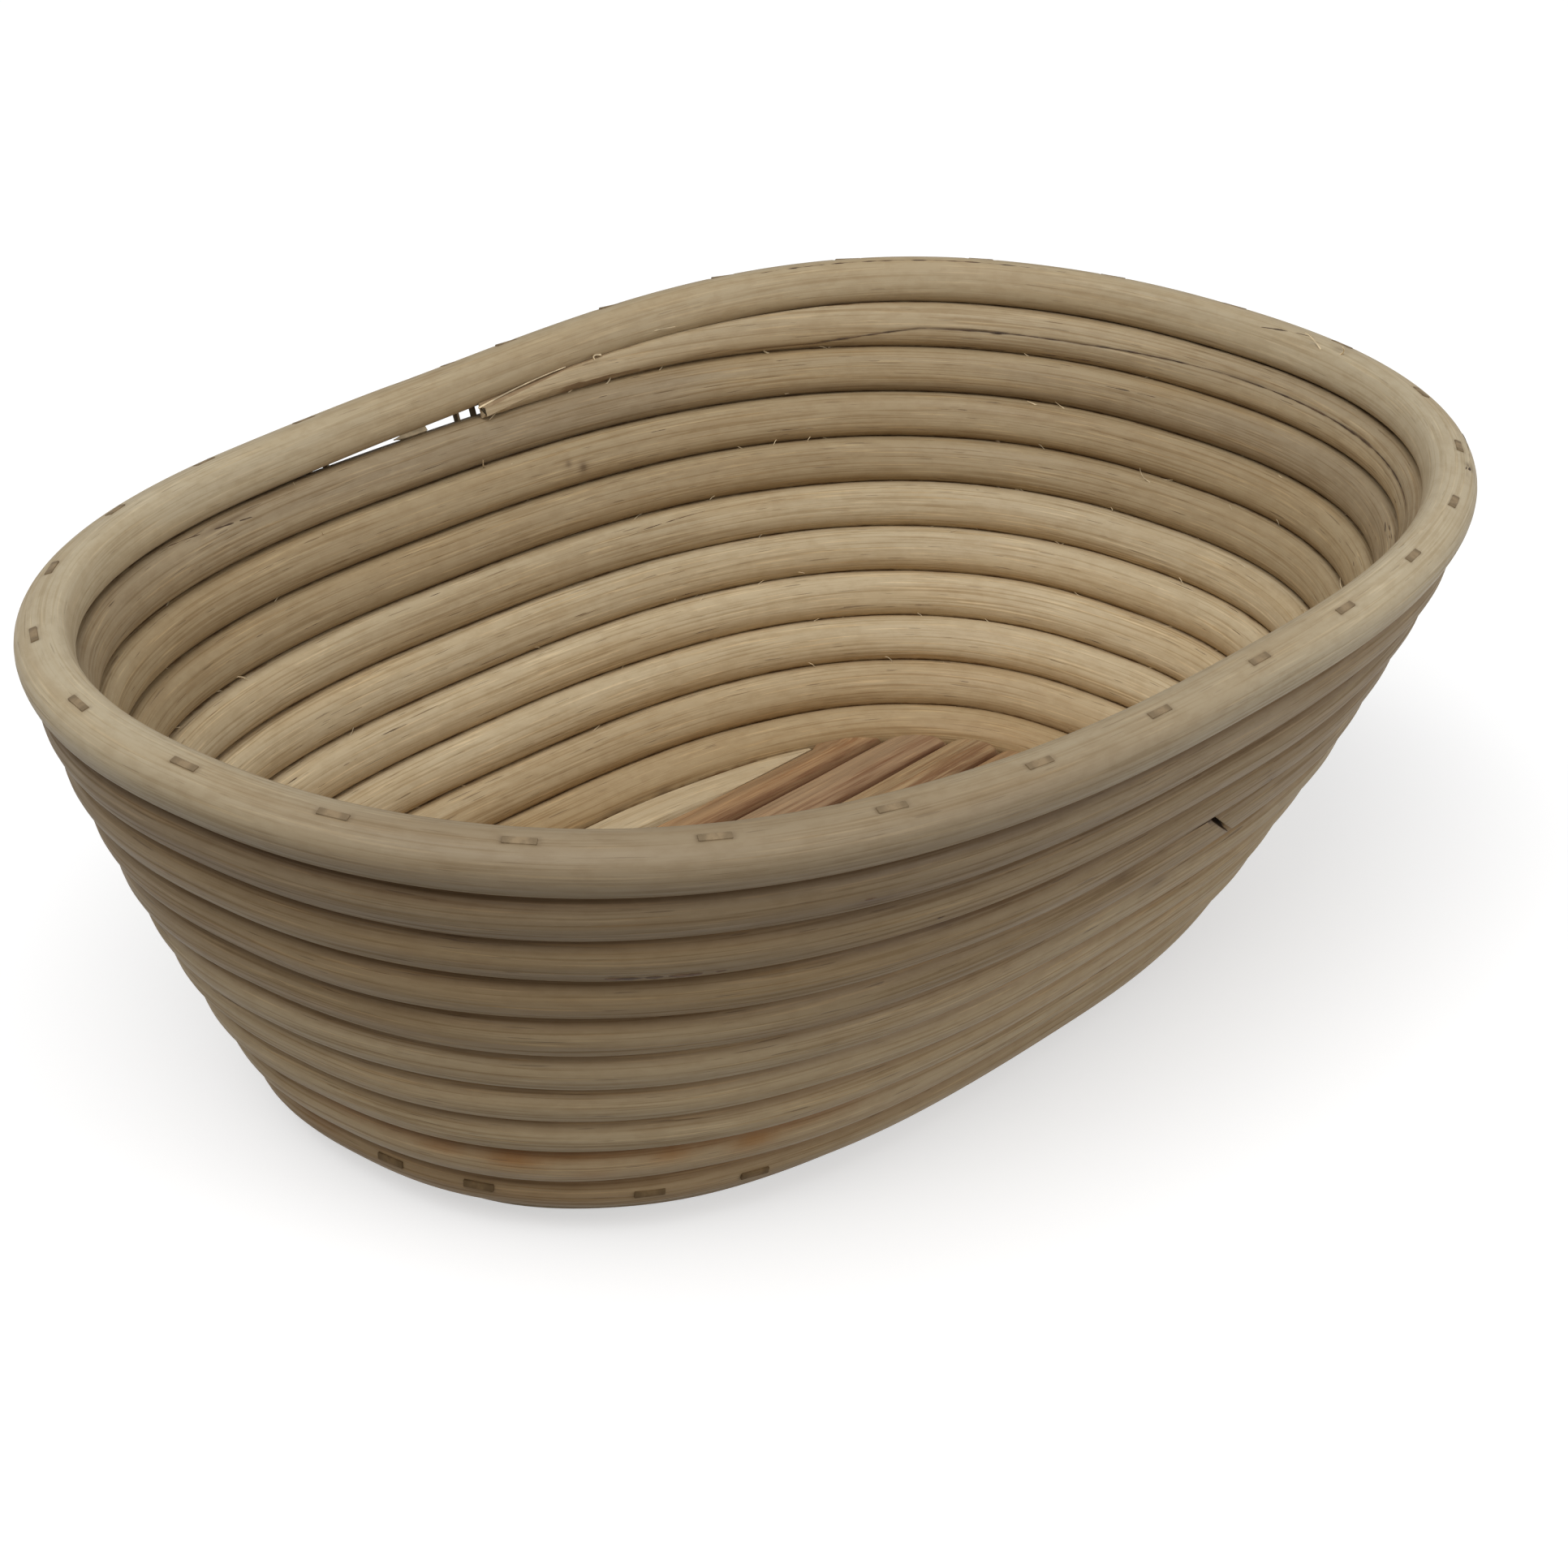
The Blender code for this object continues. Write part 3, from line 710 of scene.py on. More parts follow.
class Section:
    """The outlines of a cane's rings: how far up and out of its middle each vertex lies.

    Flats and cuts are planes across the section, one for each ring."""

    def __init__(self, angles, radius):
        self.angles = angles
        self.radius = radius
        self.up = radius * np.cos(angles)
        self.out = radius * np.sin(angles)
        # The grooves beside neighbours get painted shade; the stains are real, apart from the painted
        # shade of the lap's slit
        for mark in ("groove", "cut", "stain_and_shade", "damp", "slide"):
            setattr(self, mark, np.zeros_like(angles))

    def skew_at(self, stations, place):
        """Slant the rings near a place, so that a cane's end there is cut on the skew, and paint shade
        into the slit beside it.
        """
        near = smooth_step(1.0 - np.abs(stations - place) / LAP_SKEW_REACH)
        self.slide = -LAP_SKEW * self.up * near
        # Painted shade on the cane's outer side, in the slit beside its skewed end
        slit = np.exp(-((stations - place - LAP_SLIT / 2) / LAP_SLIT_SHADE) ** 2)
        self.stain_and_shade = np.maximum(self.stain_and_shade, slit * (np.sin(self.angles) > 0.0))

    def spot(self, stations, place, degrees, length, width, depth):
        """A soft spot on the cane's surface."""
        along = (stations - place) / length
        across = CANE_RADIUS * np.angle(np.exp(1j * (self.angles - math.radians(degrees)))) / width
        return depth * np.exp(-along ** 2 - across ** 2)

    def darken(self, *spot):
        """Darken a small spot, as from a knot or a knock."""
        self.stain_and_shade = np.maximum(self.stain_and_shade, self.spot(*spot))

    def dampen(self, *spot):
        """Brown a spot, as from standing damp."""
        self.damp = np.maximum(self.damp, self.spot(*spot))

    def fill_to(self, direction, limit):
        """Swell the cane where its neighbour lies further off than it is thick."""
        extra = np.maximum(0.0, SWELLING_MARGIN * limit - self.radius)
        facing = np.maximum(0.0, np.cos(self.angles - direction)) ** 2
        self.up += extra * facing * np.cos(self.angles)
        self.out += extra * facing * np.sin(self.angles)

    def press(self, direction, limit):
        """Flatten the cane against a neighbour, and mark the groove beside it for painted shade."""
        self.shave(direction, limit)
        reach = (self.up * np.cos(direction) + self.out * np.sin(direction)) / limit
        near = np.clip((reach - GROOVE_START) / (1.0 - GROOVE_START), 0.0, 1.0) * (limit > 0)
        self.groove = np.maximum(self.groove, near)

    def shave(self, direction, limit):
        """Take off what lies past a plane across the section, and tell where that was."""
        cosine, sine = np.cos(direction), np.sin(direction)
        depth = self.up * cosine + self.out * sine
        width = self.out * cosine - self.up * sine
        over = depth > limit
        half = np.sqrt(np.maximum(self.radius ** 2 - np.minimum(limit, 0.0) ** 2, 1e-9))
        width = np.where(over, np.clip(width, -half, half), width)
        depth = np.minimum(depth, limit)
        self.up = depth * cosine - width * sine
        self.out = depth * sine + width * cosine
        return over

    def whittle(self, direction, limit):
        self.cut = np.maximum(self.cut, self.shave(direction, limit))

    def clear_of(self, up, out, radius):
        """Push the outline clear of a round neighbour."""
        step_up, step_out = self.up - up, self.out - out
        distance = np.maximum(np.hypot(step_up, step_out), 1e-6)
        push = np.maximum(radius / distance, 1.0)
        self.up = up + step_up * push
        self.out = out + step_out * push

    def blend_to(self, up, out, share):
        self.up += (up - self.up) * share
        self.out += (out - self.out) * share

    def straight(self, stations):
        """The vertices of the straight cane, ready to wind."""
        return np.stack((stations + self.slide, -self.up, -self.out), axis=1)


def uneven_radius(turns, angles):
    """A cane is never quite round, nor quite as thick all along."""
    thick = CANE_FULLNESS + CANE_SWELLS * wander(turns, (2.13, 4.57, 7.9), 1.9)
    lobes = 0.006 * np.sin(3 * angles + math.tau * 1.7 * turns)
    lobes += 0.004 * np.sin(5 * angles - math.tau * 2.9 * turns)
    inner = np.maximum(0.0, -np.sin(angles))
    lobes += (CANE_SQUARENESS + INNER_SQUARENESS * inner) * (1.0 - np.cos(4 * angles))
    return CANE_RADIUS * (thick + lobes)


def toward(here, there):
    """Direction round the section, and distance, from each place to another."""
    step = there - here.centre
    up = np.sum(step * here.rise, axis=1)
    out = np.sum(step * here.face, axis=1)
    return np.arctan2(out, up), np.hypot(up, out)


def lap_depth(share):
    """Depth whittled off the inner side of the cane that ends in a lap joint."""
    least = TIP_THICKNESS
    most = 2 * CANE_RADIUS - TIP_THICKNESS
    return least + (most - least) * np.clip(share, 0.0, 1.0)


def press_neighbours(section, turns, rings, unevenness):
    """Press a wall cane against the turns above and below it."""
    here = Winding(turns, turns)
    last = turns > WALL_TURNS - 1.0
    above = np.where(
        last[:, None],
        Winding(turns, rim_level(turns)).centre,
        Winding(turns + 1.0, turns + 1.0).centre,
    )
    direction, distance = toward(here, above)
    limit = distance / 2 + unevenness * boundary_wander(turns)
    limit = np.where(last, distance - CANE_RADIUS, limit) + CONTACT_OVERLAP
    wide = np.minimum(limit, MOST_SWELLING * CANE_RADIUS)
    section.fill_to(direction[rings], np.where(last, 0.0, wide)[rings])
    section.press(direction[rings], limit[rings])
    has_below = turns > START_TURN + 1.0
    direction, distance = toward(here, Winding(turns - 1.0, turns - 1.0).centre)
    limit = distance / 2 - unevenness * boundary_wander(turns - 1.0) + CONTACT_OVERLAP
    limit = np.where(has_below, limit, 2 * CANE_RADIUS)
    section.fill_to(direction[rings], np.where(has_below, limit, 0.0)[rings])
    section.press(direction[rings], limit[rings])


def start_reach(turns):
    """How far the first turn reaches toward the floor: its end is cut straight, along the strips."""
    here = Winding(turns, turns)
    reach = (here.centre[:, 1] - FLOOR_EDGE) / here.out[:, 1]
    cut = (turns < START_FULL_TURN) & (here.centre[:, 0] > 0.0)
    return np.where(cut, np.clip(reach, START_TIP_WIDTH - CANE_RADIUS, CANE_RADIUS), CANE_RADIUS)


def whittle_start(section, turns, rings):
    """The spiral's first end is whittled thin on the side that lies against the floor."""
    share = (START_FULL_TURN - turns) / (START_FULL_TURN - START_TURN)
    limit = np.where(share > 0, start_reach(turns), 2 * CANE_RADIUS)
    section.whittle(DOWNWARD, limit[rings])
    limit = np.where(share > 0, CANE_RADIUS + (START_TIP_TOP - CANE_RADIUS) * share, 2 * CANE_RADIUS)
    section.whittle(INWARD, limit[rings])


def whittle_lap(section, turns, rings, lap, direction, ending, slit=0.0):
    """Shave a cane's end so that two lengths lie in the thickness of one."""
    lap_start, lap_end = lap
    share = (turns - lap_start) / (lap_end - lap_start)
    depth = lap_depth(share)
    if not ending:
        past_end = (share - 1.0) * WALL_LAP_LENGTH - LAP_SLIT / 2
        depth = 2 * CANE_RADIUS - CONTACT_OVERLAP - depth
        depth += slit * np.exp(-(past_end / (LAP_SLIT_SPREAD * LAP_SLIT)) ** 2)
    inside = share > 0.0 if ending else share < 1.0 + LAP_SLIT / WALL_LAP_LENGTH
    limit = np.where(inside, CANE_RADIUS - depth, 2 * CANE_RADIUS)
    section.whittle(direction, limit[rings])
    # Painted shade on the whittled faces near the lap's end, down in the slit
    near = smooth_step(LAP_SHADE_REACH - np.abs(turns - lap_end) / LAP_SHADE_TURNS)[rings]
    section.stain_and_shade = np.maximum(section.stain_and_shade, near * section.cut)


def shape_slat(section, turns, rings):
    """The spiral's last stretch is split to a slat that stands before the groove under the rim."""
    here = Winding(turns, turns)
    to_rim = toward(here, Winding(turns, rim_level(turns)).centre)[1]
    to_tip = WALL_TURNS - turns
    share = smooth_step(1.0 - to_tip / SLAT_TURNS)
    half_depth = CANE_RADIUS + (SLAT_TIP_DEPTH - CANE_RADIUS) * share
    top = to_rim - SLAT_BELOW_RIM
    cosine = np.cos(section.angles)
    depth = signed_power(np.sin(section.angles), SLAT_SQUARENESS)
    up = ((top + SLAT_BOTTOM) / 2)[rings]
    up = up + ((top - SLAT_BOTTOM) / 2)[rings] * signed_power(cosine, SLAT_SQUARENESS)
    ragged = SLAT_RAGGEDNESS * share * wander(turns, (61.0, 97.0, 143.0, 211.0), 0.4)
    lip = SLAT_TIP_LIP + (SLAT_LIP - SLAT_TIP_LIP) * smooth_step(to_tip / SLAT_TIP_TURNS) + ragged
    point = SLAT_POINT * np.clip(1.0 - to_tip / SLAT_TIP_TURNS, 0.0, 1.0)
    front = 0.5 - 0.5 * depth
    up = up + front * np.where(cosine < 0, lip[rings], -point[rings])
    out = (half_depth - SLAT_FRONT)[rings] + half_depth[rings] * depth
    blend = smooth_step((SLAT_TURNS - to_tip) / SLAT_BLEND_TURNS)[rings]
    section.blend_to(up, out, blend)
    section.cut = np.maximum(section.cut, blend * (0.3 + 0.5 * share[rings]))
    # Painted shade lies along the slat's lower edge, short of its tip, and along its upper edge near the
    # tip
    below = smooth_step((-cosine - 0.74) / 0.08) * smooth_step((to_tip - 0.010) / 0.020)[rings]
    above = smooth_step((cosine - 0.70) / 0.1) * smooth_step((0.080 - to_tip) / 0.020)[rings]
    section.groove = np.maximum(section.groove * (1.0 - blend), blend * np.maximum(below, above))
    near = np.where(blend > 0, CANE_RADIUS, 0.0)
    section.clear_of(to_rim[rings], 0.0, near)
    section.clear_of(-PITCH, 0.0, near)


def split_crack(section, turns, rings):
    """A long crack runs along the top turn, below the middle of its inner side, over a low ledge."""
    place = np.radians(np.interp(turns, CRACK_TURNS, CRACK_DEGREES))
    start, end = CRACK_TURNS[0], CRACK_TURNS[-1]
    fade = smooth_step((turns - start) / 0.03) * smooth_step((end - turns) / 0.02)
    fade = fade * (0.65 + 0.35 * wander(turns, (23.0, 41.0), 0.0))
    away = np.angle(np.exp(1j * (section.angles - place[rings])))
    line = np.exp(-(away / CRACK_WIDTH) ** 2) * fade[rings]
    ledge = smooth_step(-away / LEDGE_START) * smooth_step(1.0 + away / LEDGE_WIDTH) * fade[rings]
    scale = 1.0 - (CRACK_DEPTH * line + LEDGE_DEPTH * ledge) / CANE_RADIUS
    section.up *= scale
    section.out *= scale
    section.stain_and_shade = np.maximum(section.stain_and_shade, 0.8 * line)


def finish_cane(cane, section, stations, rings, turns, path, sway, grain_start):
    """Set a straight cane's shape, keep its grain with it, and wind it."""
    mesh = cane.data
    straight = section.straight(stations[rings])
    set_vertex_places(mesh, straight)
    store_vectors(mesh, "grain", straight + np.array((grain_start, 0.0, 0.0)))
    # Painted shade in the grooves and the lap's slit is kept with the real cuts and stains
    store_vectors(mesh, "shade_and_wear", np.stack((section.groove, section.cut, section.stain_and_shade), axis=1))
    store_numbers(mesh, "turn", turns[rings])
    store_numbers(mesh, "damp", section.damp)
    wind_on(cane, path, turns, sway)
    shade(cane, CANE_SHARP_DEGREES)


# Finishes

class Finish:
    """A node-built finish, with short ways to add and join nodes."""

    def __init__(self, name):
        self.material = bpy.data.materials.new(name)
        self.material.use_nodes = True
        self.tree = self.material.node_tree
        self.shader = self.tree.nodes["Principled BSDF"]

    def add(self, kind, settings=None, **inputs):
        """Add a node. Inputs are set by name, with a value or another node's output."""
        node = self.tree.nodes.new(kind)
        for name, value in (settings or {}).items():
            setattr(node, name, value)
        for name, value in inputs.items():
            self.feed(node.inputs[name.replace("_", " ")], value)
        return node

    def feed(self, socket, value):
        if isinstance(value, bpy.types.NodeSocket):
            self.tree.links.new(value, socket)
        else:
            socket.default_value = value

    def attribute(self, name):
        return self.add("ShaderNodeAttribute", {"attribute_name": name})

    def noise(self, grain, scale, detail=3.0, roughness=0.55):
        """Noise drawn out along the cane. Its scale is features in a metre, along and across."""
        along, across = scale
        stretch = self.add("ShaderNodeMapping", Vector=grain, Scale=(along, across, across))
        noise = self.add("ShaderNodeTexNoise", Vector=stretch.outputs["Vector"], Scale=1.0,
                         Detail=detail, Roughness=roughness)
        return noise.outputs["Fac"]

    def range(self, value, low, high, to_low=0.0, to_high=1.0):
        node = self.add("ShaderNodeMapRange", {"interpolation_type": "SMOOTHSTEP"}, Value=value)
        node.inputs["From Min"].default_value = low
        node.inputs["From Max"].default_value = high
        node.inputs["To Min"].default_value = to_low
        node.inputs["To Max"].default_value = to_high
        return node.outputs["Result"]

    def maths(self, operation, first, second):
        node = self.add("ShaderNodeMath", {"operation": operation})
        self.feed(node.inputs[0], first)
        self.feed(node.inputs[1], second)
        return node.outputs["Value"]

    def mix(self, factor, first, second, blend="MIX"):
        node = self.add("ShaderNodeMix", {"data_type": "RGBA", "blend_type": blend})
        self.feed(node.inputs[0], factor)
        self.feed(node.inputs[6], first)
        self.feed(node.inputs[7], second)
        return node.outputs[2]

    def tint(self, tone, factor, colour):
        return self.mix(factor, tone, solid(colour), "MULTIPLY")

    def parts(self, vector):
        return self.add("ShaderNodeSeparateXYZ", Vector=vector).outputs[:3]

    def ramp(self, place, tones):
        """A colour for each place, out of a list of places and their colours in order."""
        spread = tones[-1][0]
        ramp = self.add("ShaderNodeValToRGB", Fac=self.maths("DIVIDE", place, spread))
        stops = ramp.color_ramp.elements
        for number, (at, colour) in enumerate(tones):
            stop = stops[number] if number < 2 else stops.new(at / spread)
            stop.position = at / spread
            stop.color = solid(colour)
        return ramp.outputs["Color"]

    def join(self, tone, roughness, gloss, relief, strength, depth):
        """Join colour, roughness, gloss and fine relief to the shader."""
        bump = self.add("ShaderNodeBump", Height=relief, Strength=strength, Distance=depth)
        values = {
            "Base Color": tone, "Roughness": roughness,
            "Specular IOR Level": gloss, "Normal": bump.outputs["Normal"],
        }
        for name, value in values.items():
            self.feed(self.shader.inputs[name], value)
        return self.material


def solid(colour):
    return (*colour, 1.0)


def scaled(colour, share):
    """The same colour, so many times as light."""
    return tuple(channel * share for channel in colour)


def cane_finish(name, tones, stain_and_shade, drift, outer_shade, streaks=1.0, roughness=0.62):
    """Peeled rattan: drawn-out fibres, pores like fine dashes, and slow changes of tone.

    tones is a list of turn numbers and colours, in order. Tones drift by so many turns, and the
    outer side is darker by its own share: painted shade. The grooves get painted shade as well."""
    finish = Finish(name)
    grain = finish.attribute("grain").outputs["Vector"]
    groove, cut, darken = finish.parts(finish.attribute("shade_and_wear").outputs["Vector"])
    turn = finish.attribute("turn").outputs["Fac"]
    slow = finish.noise(grain, (7.0, 90.0), 2.0)
    patch = finish.noise(grain, (22.0, 200.0), 2.0)
    fibre = finish.noise(grain, (20.0, 900.0), 2.0, 0.5)
    bright = finish.noise(grain, (60.0, 2600.0), 1.0, 0.4)
    hair = finish.noise(grain, (30.0, 2400.0), 1.5, 0.5)
    mottle = finish.noise(grain, (260.0, 620.0), 3.0, 0.6)
    pore = finish.noise(grain, (130.0, 3300.0), 0.5, 0.4)
    tone = finish.ramp(finish.maths("ADD", turn, finish.range(slow, 0.3, 0.7, -drift, drift)), tones)
    strength = 0.35 * streaks
    layers = (
        (patch, 0.40, 0.70, 0.40, (0.90, 0.82, 0.70)),
        (fibre, 0.46, 0.68, strength, (0.76, 0.68, 0.57)),
        (hair, 0.55, 0.64, 1.5 * strength, (0.68, 0.60, 0.48)),
        (bright, 0.40, 0.30, 2.0 * strength, (1.30, 1.28, 1.24)),
        (mottle, 0.40, 0.66, 0.35, (0.78, 0.72, 0.64)),
    )
    for pattern, low, high, most, colour in layers:
        tone = finish.tint(tone, finish.range(pattern, low, high, 0.0, most), colour)
    tone = finish.tint(tone, finish.attribute("damp").outputs["Fac"], (0.78, 0.54, 0.33))
    dash = finish.range(pore, 0.73, 0.77, 0.0, 0.45 * streaks)
    tone = finish.mix(dash, tone, solid(stain_and_shade))
    # Painted shade: the cane's outer side is darkened
    outer = finish.range(finish.parts(grain)[2], 0.0010, -0.0020)
    tone = finish.tint(tone, finish.maths("MULTIPLY", outer, outer_shade), (0.60, 0.54, 0.46))
    # Painted shade beside each groove, stronger on the outer side, and a dark line painted in the groove
    # itself
    outer_groove = finish.range(outer, 0.0, 1.0, 0.10, 0.85)
    beside = finish.maths("MULTIPLY", finish.range(groove, 0.0, 1.0), outer_groove)
    tone = finish.tint(tone, beside, (0.66, 0.52, 0.38))
    ragged = finish.maths("ADD", groove, finish.range(mottle, 0.3, 0.7, -0.06, 0.06))
    tone = finish.tint(tone, finish.range(ragged, 0.86, 1.0, 0.0, 0.80), (0.42, 0.28, 0.18))
    tone = finish.mix(finish.maths("MULTIPLY", cut, 0.30), tone, (0.52, 0.41, 0.26, 1.0))
    # Real bruises, cracks and stains, with the painted shade of the lap's slit
    tone = finish.mix(finish.maths("MULTIPLY", darken, 0.95), tone, solid(stain_and_shade))
    rough = finish.range(hair, 0.3, 0.7, roughness - 0.1, roughness + 0.1)
    hollow = finish.maths("MULTIPLY", hair, 0.5)
    relief = finish.maths("SUBTRACT", finish.maths("MULTIPLY", fibre, 0.5), hollow)
    relief = finish.maths("SUBTRACT", relief, finish.maths("MULTIPLY", dash, 0.5))
    return finish.join(tone, rough, 0.35, relief, 0.5 * streaks, 0.0003)


def strip_finish(name, colour, stain_and_shade):
    """Flattened cane: broad dark streaks along the strip, and pale torn fibres at its ends."""
    finish = Finish(name)
    grain = finish.attribute("grain").outputs["Vector"]
    groove, cut, flank = finish.parts(finish.attribute("shade_and_wear").outputs["Vector"])
    fibre = finish.noise(grain, (24.0, 900.0), 5.0, 0.62)
    hair = finish.noise(grain, (90.0, 4200.0), 2.0, 0.5)
    streak = finish.noise(grain, (11.0, 420.0), 2.0, 0.5)
    light, dark = solid(scaled(colour, 1.14)), solid(scaled(colour, 0.78))
    tone = finish.mix(finish.range(streak, 0.35, 0.72), light, dark)
    tone = finish.tint(tone, finish.range(fibre, 0.48, 0.66, 0.0, 0.7), (0.58, 0.42, 0.31))
    tone = finish.tint(tone, finish.range(hair, 0.45, 0.30, 0.0, 0.7), (1.40, 1.34, 1.26))
    # One flank of each strip: dark bark, with painted shade on that side
    bark_and_shade = finish.maths("MULTIPLY", flank, finish.range(fibre, 0.38, 0.60, 0.15, 0.70))
    tone = finish.mix(bark_and_shade, tone, solid(stain_and_shade))
    # Painted shade in the seams between strips
    tone = finish.mix(finish.maths("MULTIPLY", groove, 0.8), tone, solid(stain_and_shade))
    tone = finish.mix(finish.maths("MULTIPLY", cut, 0.30), tone, solid(scaled(colour, 1.30)))
    return finish.join(tone, finish.range(hair, 0.3, 0.7, 0.5, 0.72), 0.3, fibre, 0.6, 0.0005)


def wire_finish(name, colour):
    """Dull wire, tarnished in patches, scratched along its length, and darker where it bends down:
    painted shade.
    """
    finish = Finish(name)
    place = finish.add("ShaderNodeTexCoord").outputs["Object"]
    tarnish = finish.noise(place, (900.0, 900.0), 3.0)
    scratch = finish.noise(place, (6000.0, 1500.0), 1.0)
    tone = finish.mix(finish.range(tarnish, 0.35, 0.70), solid(colour), solid(scaled(colour, 0.78)))
    # Painted shade toward the crown's ends, where the wire turns down into the cane
    aside = finish.maths("ABSOLUTE", finish.attribute("crown").outputs["Fac"], 0.0)
    tone = finish.mix(finish.range(aside, 0.25, 0.80, 0.0, 0.7), tone, solid(scaled(colour, 0.58)))
    return finish.join(tone, finish.range(scratch, 0.3, 0.7, 0.50, 0.70), 0.1, scratch, 0.3, 0.0001)


def fibre_finish(name, colour):
    """Torn fibres, paler in some places than in others."""
    finish = Finish(name)
    place = finish.add("ShaderNodeTexCoord").outputs["Object"]
    change = finish.noise(place, (220.0, 220.0), 2.0)
    light, dark = solid(scaled(colour, 1.2)), solid(scaled(colour, 0.55))
    tone = finish.mix(finish.range(change, 0.35, 0.65), light, dark)
    finish.feed(finish.shader.inputs["Base Color"], tone)
    finish.shader.inputs["Roughness"].default_value = 0.7
    return finish.material


def ground_finish(name, settings):
    """A plain floor: the camera sees it pale, and it throws little light back up."""
    finish = Finish(name)
    lit = finish.add("ShaderNodeBsdfDiffuse", Color=solid(scaled(settings.floor, FLOOR_SHADE)))
    glow = finish.add("ShaderNodeEmission", Color=solid(settings.floor), Strength=settings.glow)
    unseen = finish.add("ShaderNodeBsdfDiffuse", Color=UNSEEN_FLOOR)
    rays = finish.add("ShaderNodeLightPath").outputs
    straight = finish.maths("MAXIMUM", rays["Is Camera Ray"], rays["Is Glossy Ray"])
    straight = finish.maths("MAXIMUM", straight, rays["Is Transmission Ray"])
    seen = finish.add("ShaderNodeAddShader")
    mix = finish.add("ShaderNodeMixShader")
    inputs = (*seen.inputs, *mix.inputs)
    values = (lit.outputs[0], glow.outputs[0], straight, unseen.outputs[0], seen.outputs[0])
    for socket, value in zip(inputs, values):
        finish.feed(socket, value)
    finish.feed(finish.tree.nodes["Material Output"].inputs["Surface"], mix.outputs[0])
    finish.tree.nodes.remove(finish.shader)
    return finish.material


def wall_finish(settings):
    mellow = scaled(settings.pale, 0.90)
    tones = (
        (0.0, settings.pale), (0.3, mellow), (0.7, settings.warm), (1.0, settings.warm),
        (2.2, settings.pale), (4.2, settings.pale), (5.6, mellow), (6.1, mellow),
        (6.6, settings.grey), (8.55, settings.grey), (8.75, settings.dun), (9.25, settings.dun),
        (9.55, settings.straw), (11.0, settings.straw),
    )
    return cane_finish("wall_cane", tones, settings.stain_and_shade, 0.4, 0.65)


# Operators

class BASKET_OT_wind_wall(bpy.types.Operator):
    """Wind the two lengths of wall cane, lapped where they meet"""

    bl_idname = "basket.wind_wall"
    bl_label = "Wind wall canes"

    def execute(self, context):
        settings = context.scene.basket_canes
        material = wall_finish(settings)
        self.wind(settings, material, "lower_wall_cane", START_TURN, WALL_LAP_END, LOWER_GRAIN)
        self.wind(settings, material, "upper_wall_cane", WALL_LAP_TURN, float(WALL_TURNS), UPPER_GRAIN)
        return {"FINISHED"}

    def wind(self, settings, material, node, start, end, grain_start):
        path = CanePath(start, end, wall_level)
        lower = node == "lower_wall_cane"
        butt = float(path.station_of(WALL_LAP_END))
        bruised = [turn for turn, *_ in WALL_BRUISES if start < turn < end]
        last = path.station_of(end)
        close = [butt, last, last - SLAT_TIP_LENGTH, *path.station_of(bruised)]
        cuts, stations = ring_stations(path.length, settings.ring_spacing, close)
        sides = LOWER_CANE_SIDES if lower else UPPER_CANE_SIDES
        cane, rings, angles = straight_cane(node + "_wound", cuts, sides)
        if not lower:
            angles = angles - CRACK_SIDE_CROWDING * np.sin(angles - CROWDED_ANGLE)
        turns = path.turn_at(stations)
        section = Section(angles, uneven_radius(turns[rings], angles))
        press_neighbours(section, turns, rings, settings.unevenness)
        if lower:
            whittle_start(section, turns, rings)
            whittle_lap(section, turns, rings, WALL_LAP, INWARD, True)
        else:
            whittle_lap(section, turns, rings, WALL_LAP, OUTWARD, False, LAP_SLIT_DEPTH)
            split_crack(section, turns, rings)
            shape_slat(section, turns, rings)
        section.skew_at(stations[rings], butt)
        for mark, spots in ((section.darken, WALL_BRUISES), (section.dampen, DAMP_MARKS)):
            for turn, *spot in spots:
                if start < turn < end:
                    mark(stations[rings], path.station_of(turn), *spot)
        sway = wall_sway(turns, settings.sway)
        finish_cane(cane, section, stations, rings, turns, path, sway, grain_start)
        keep_piece(cane, [node], material)


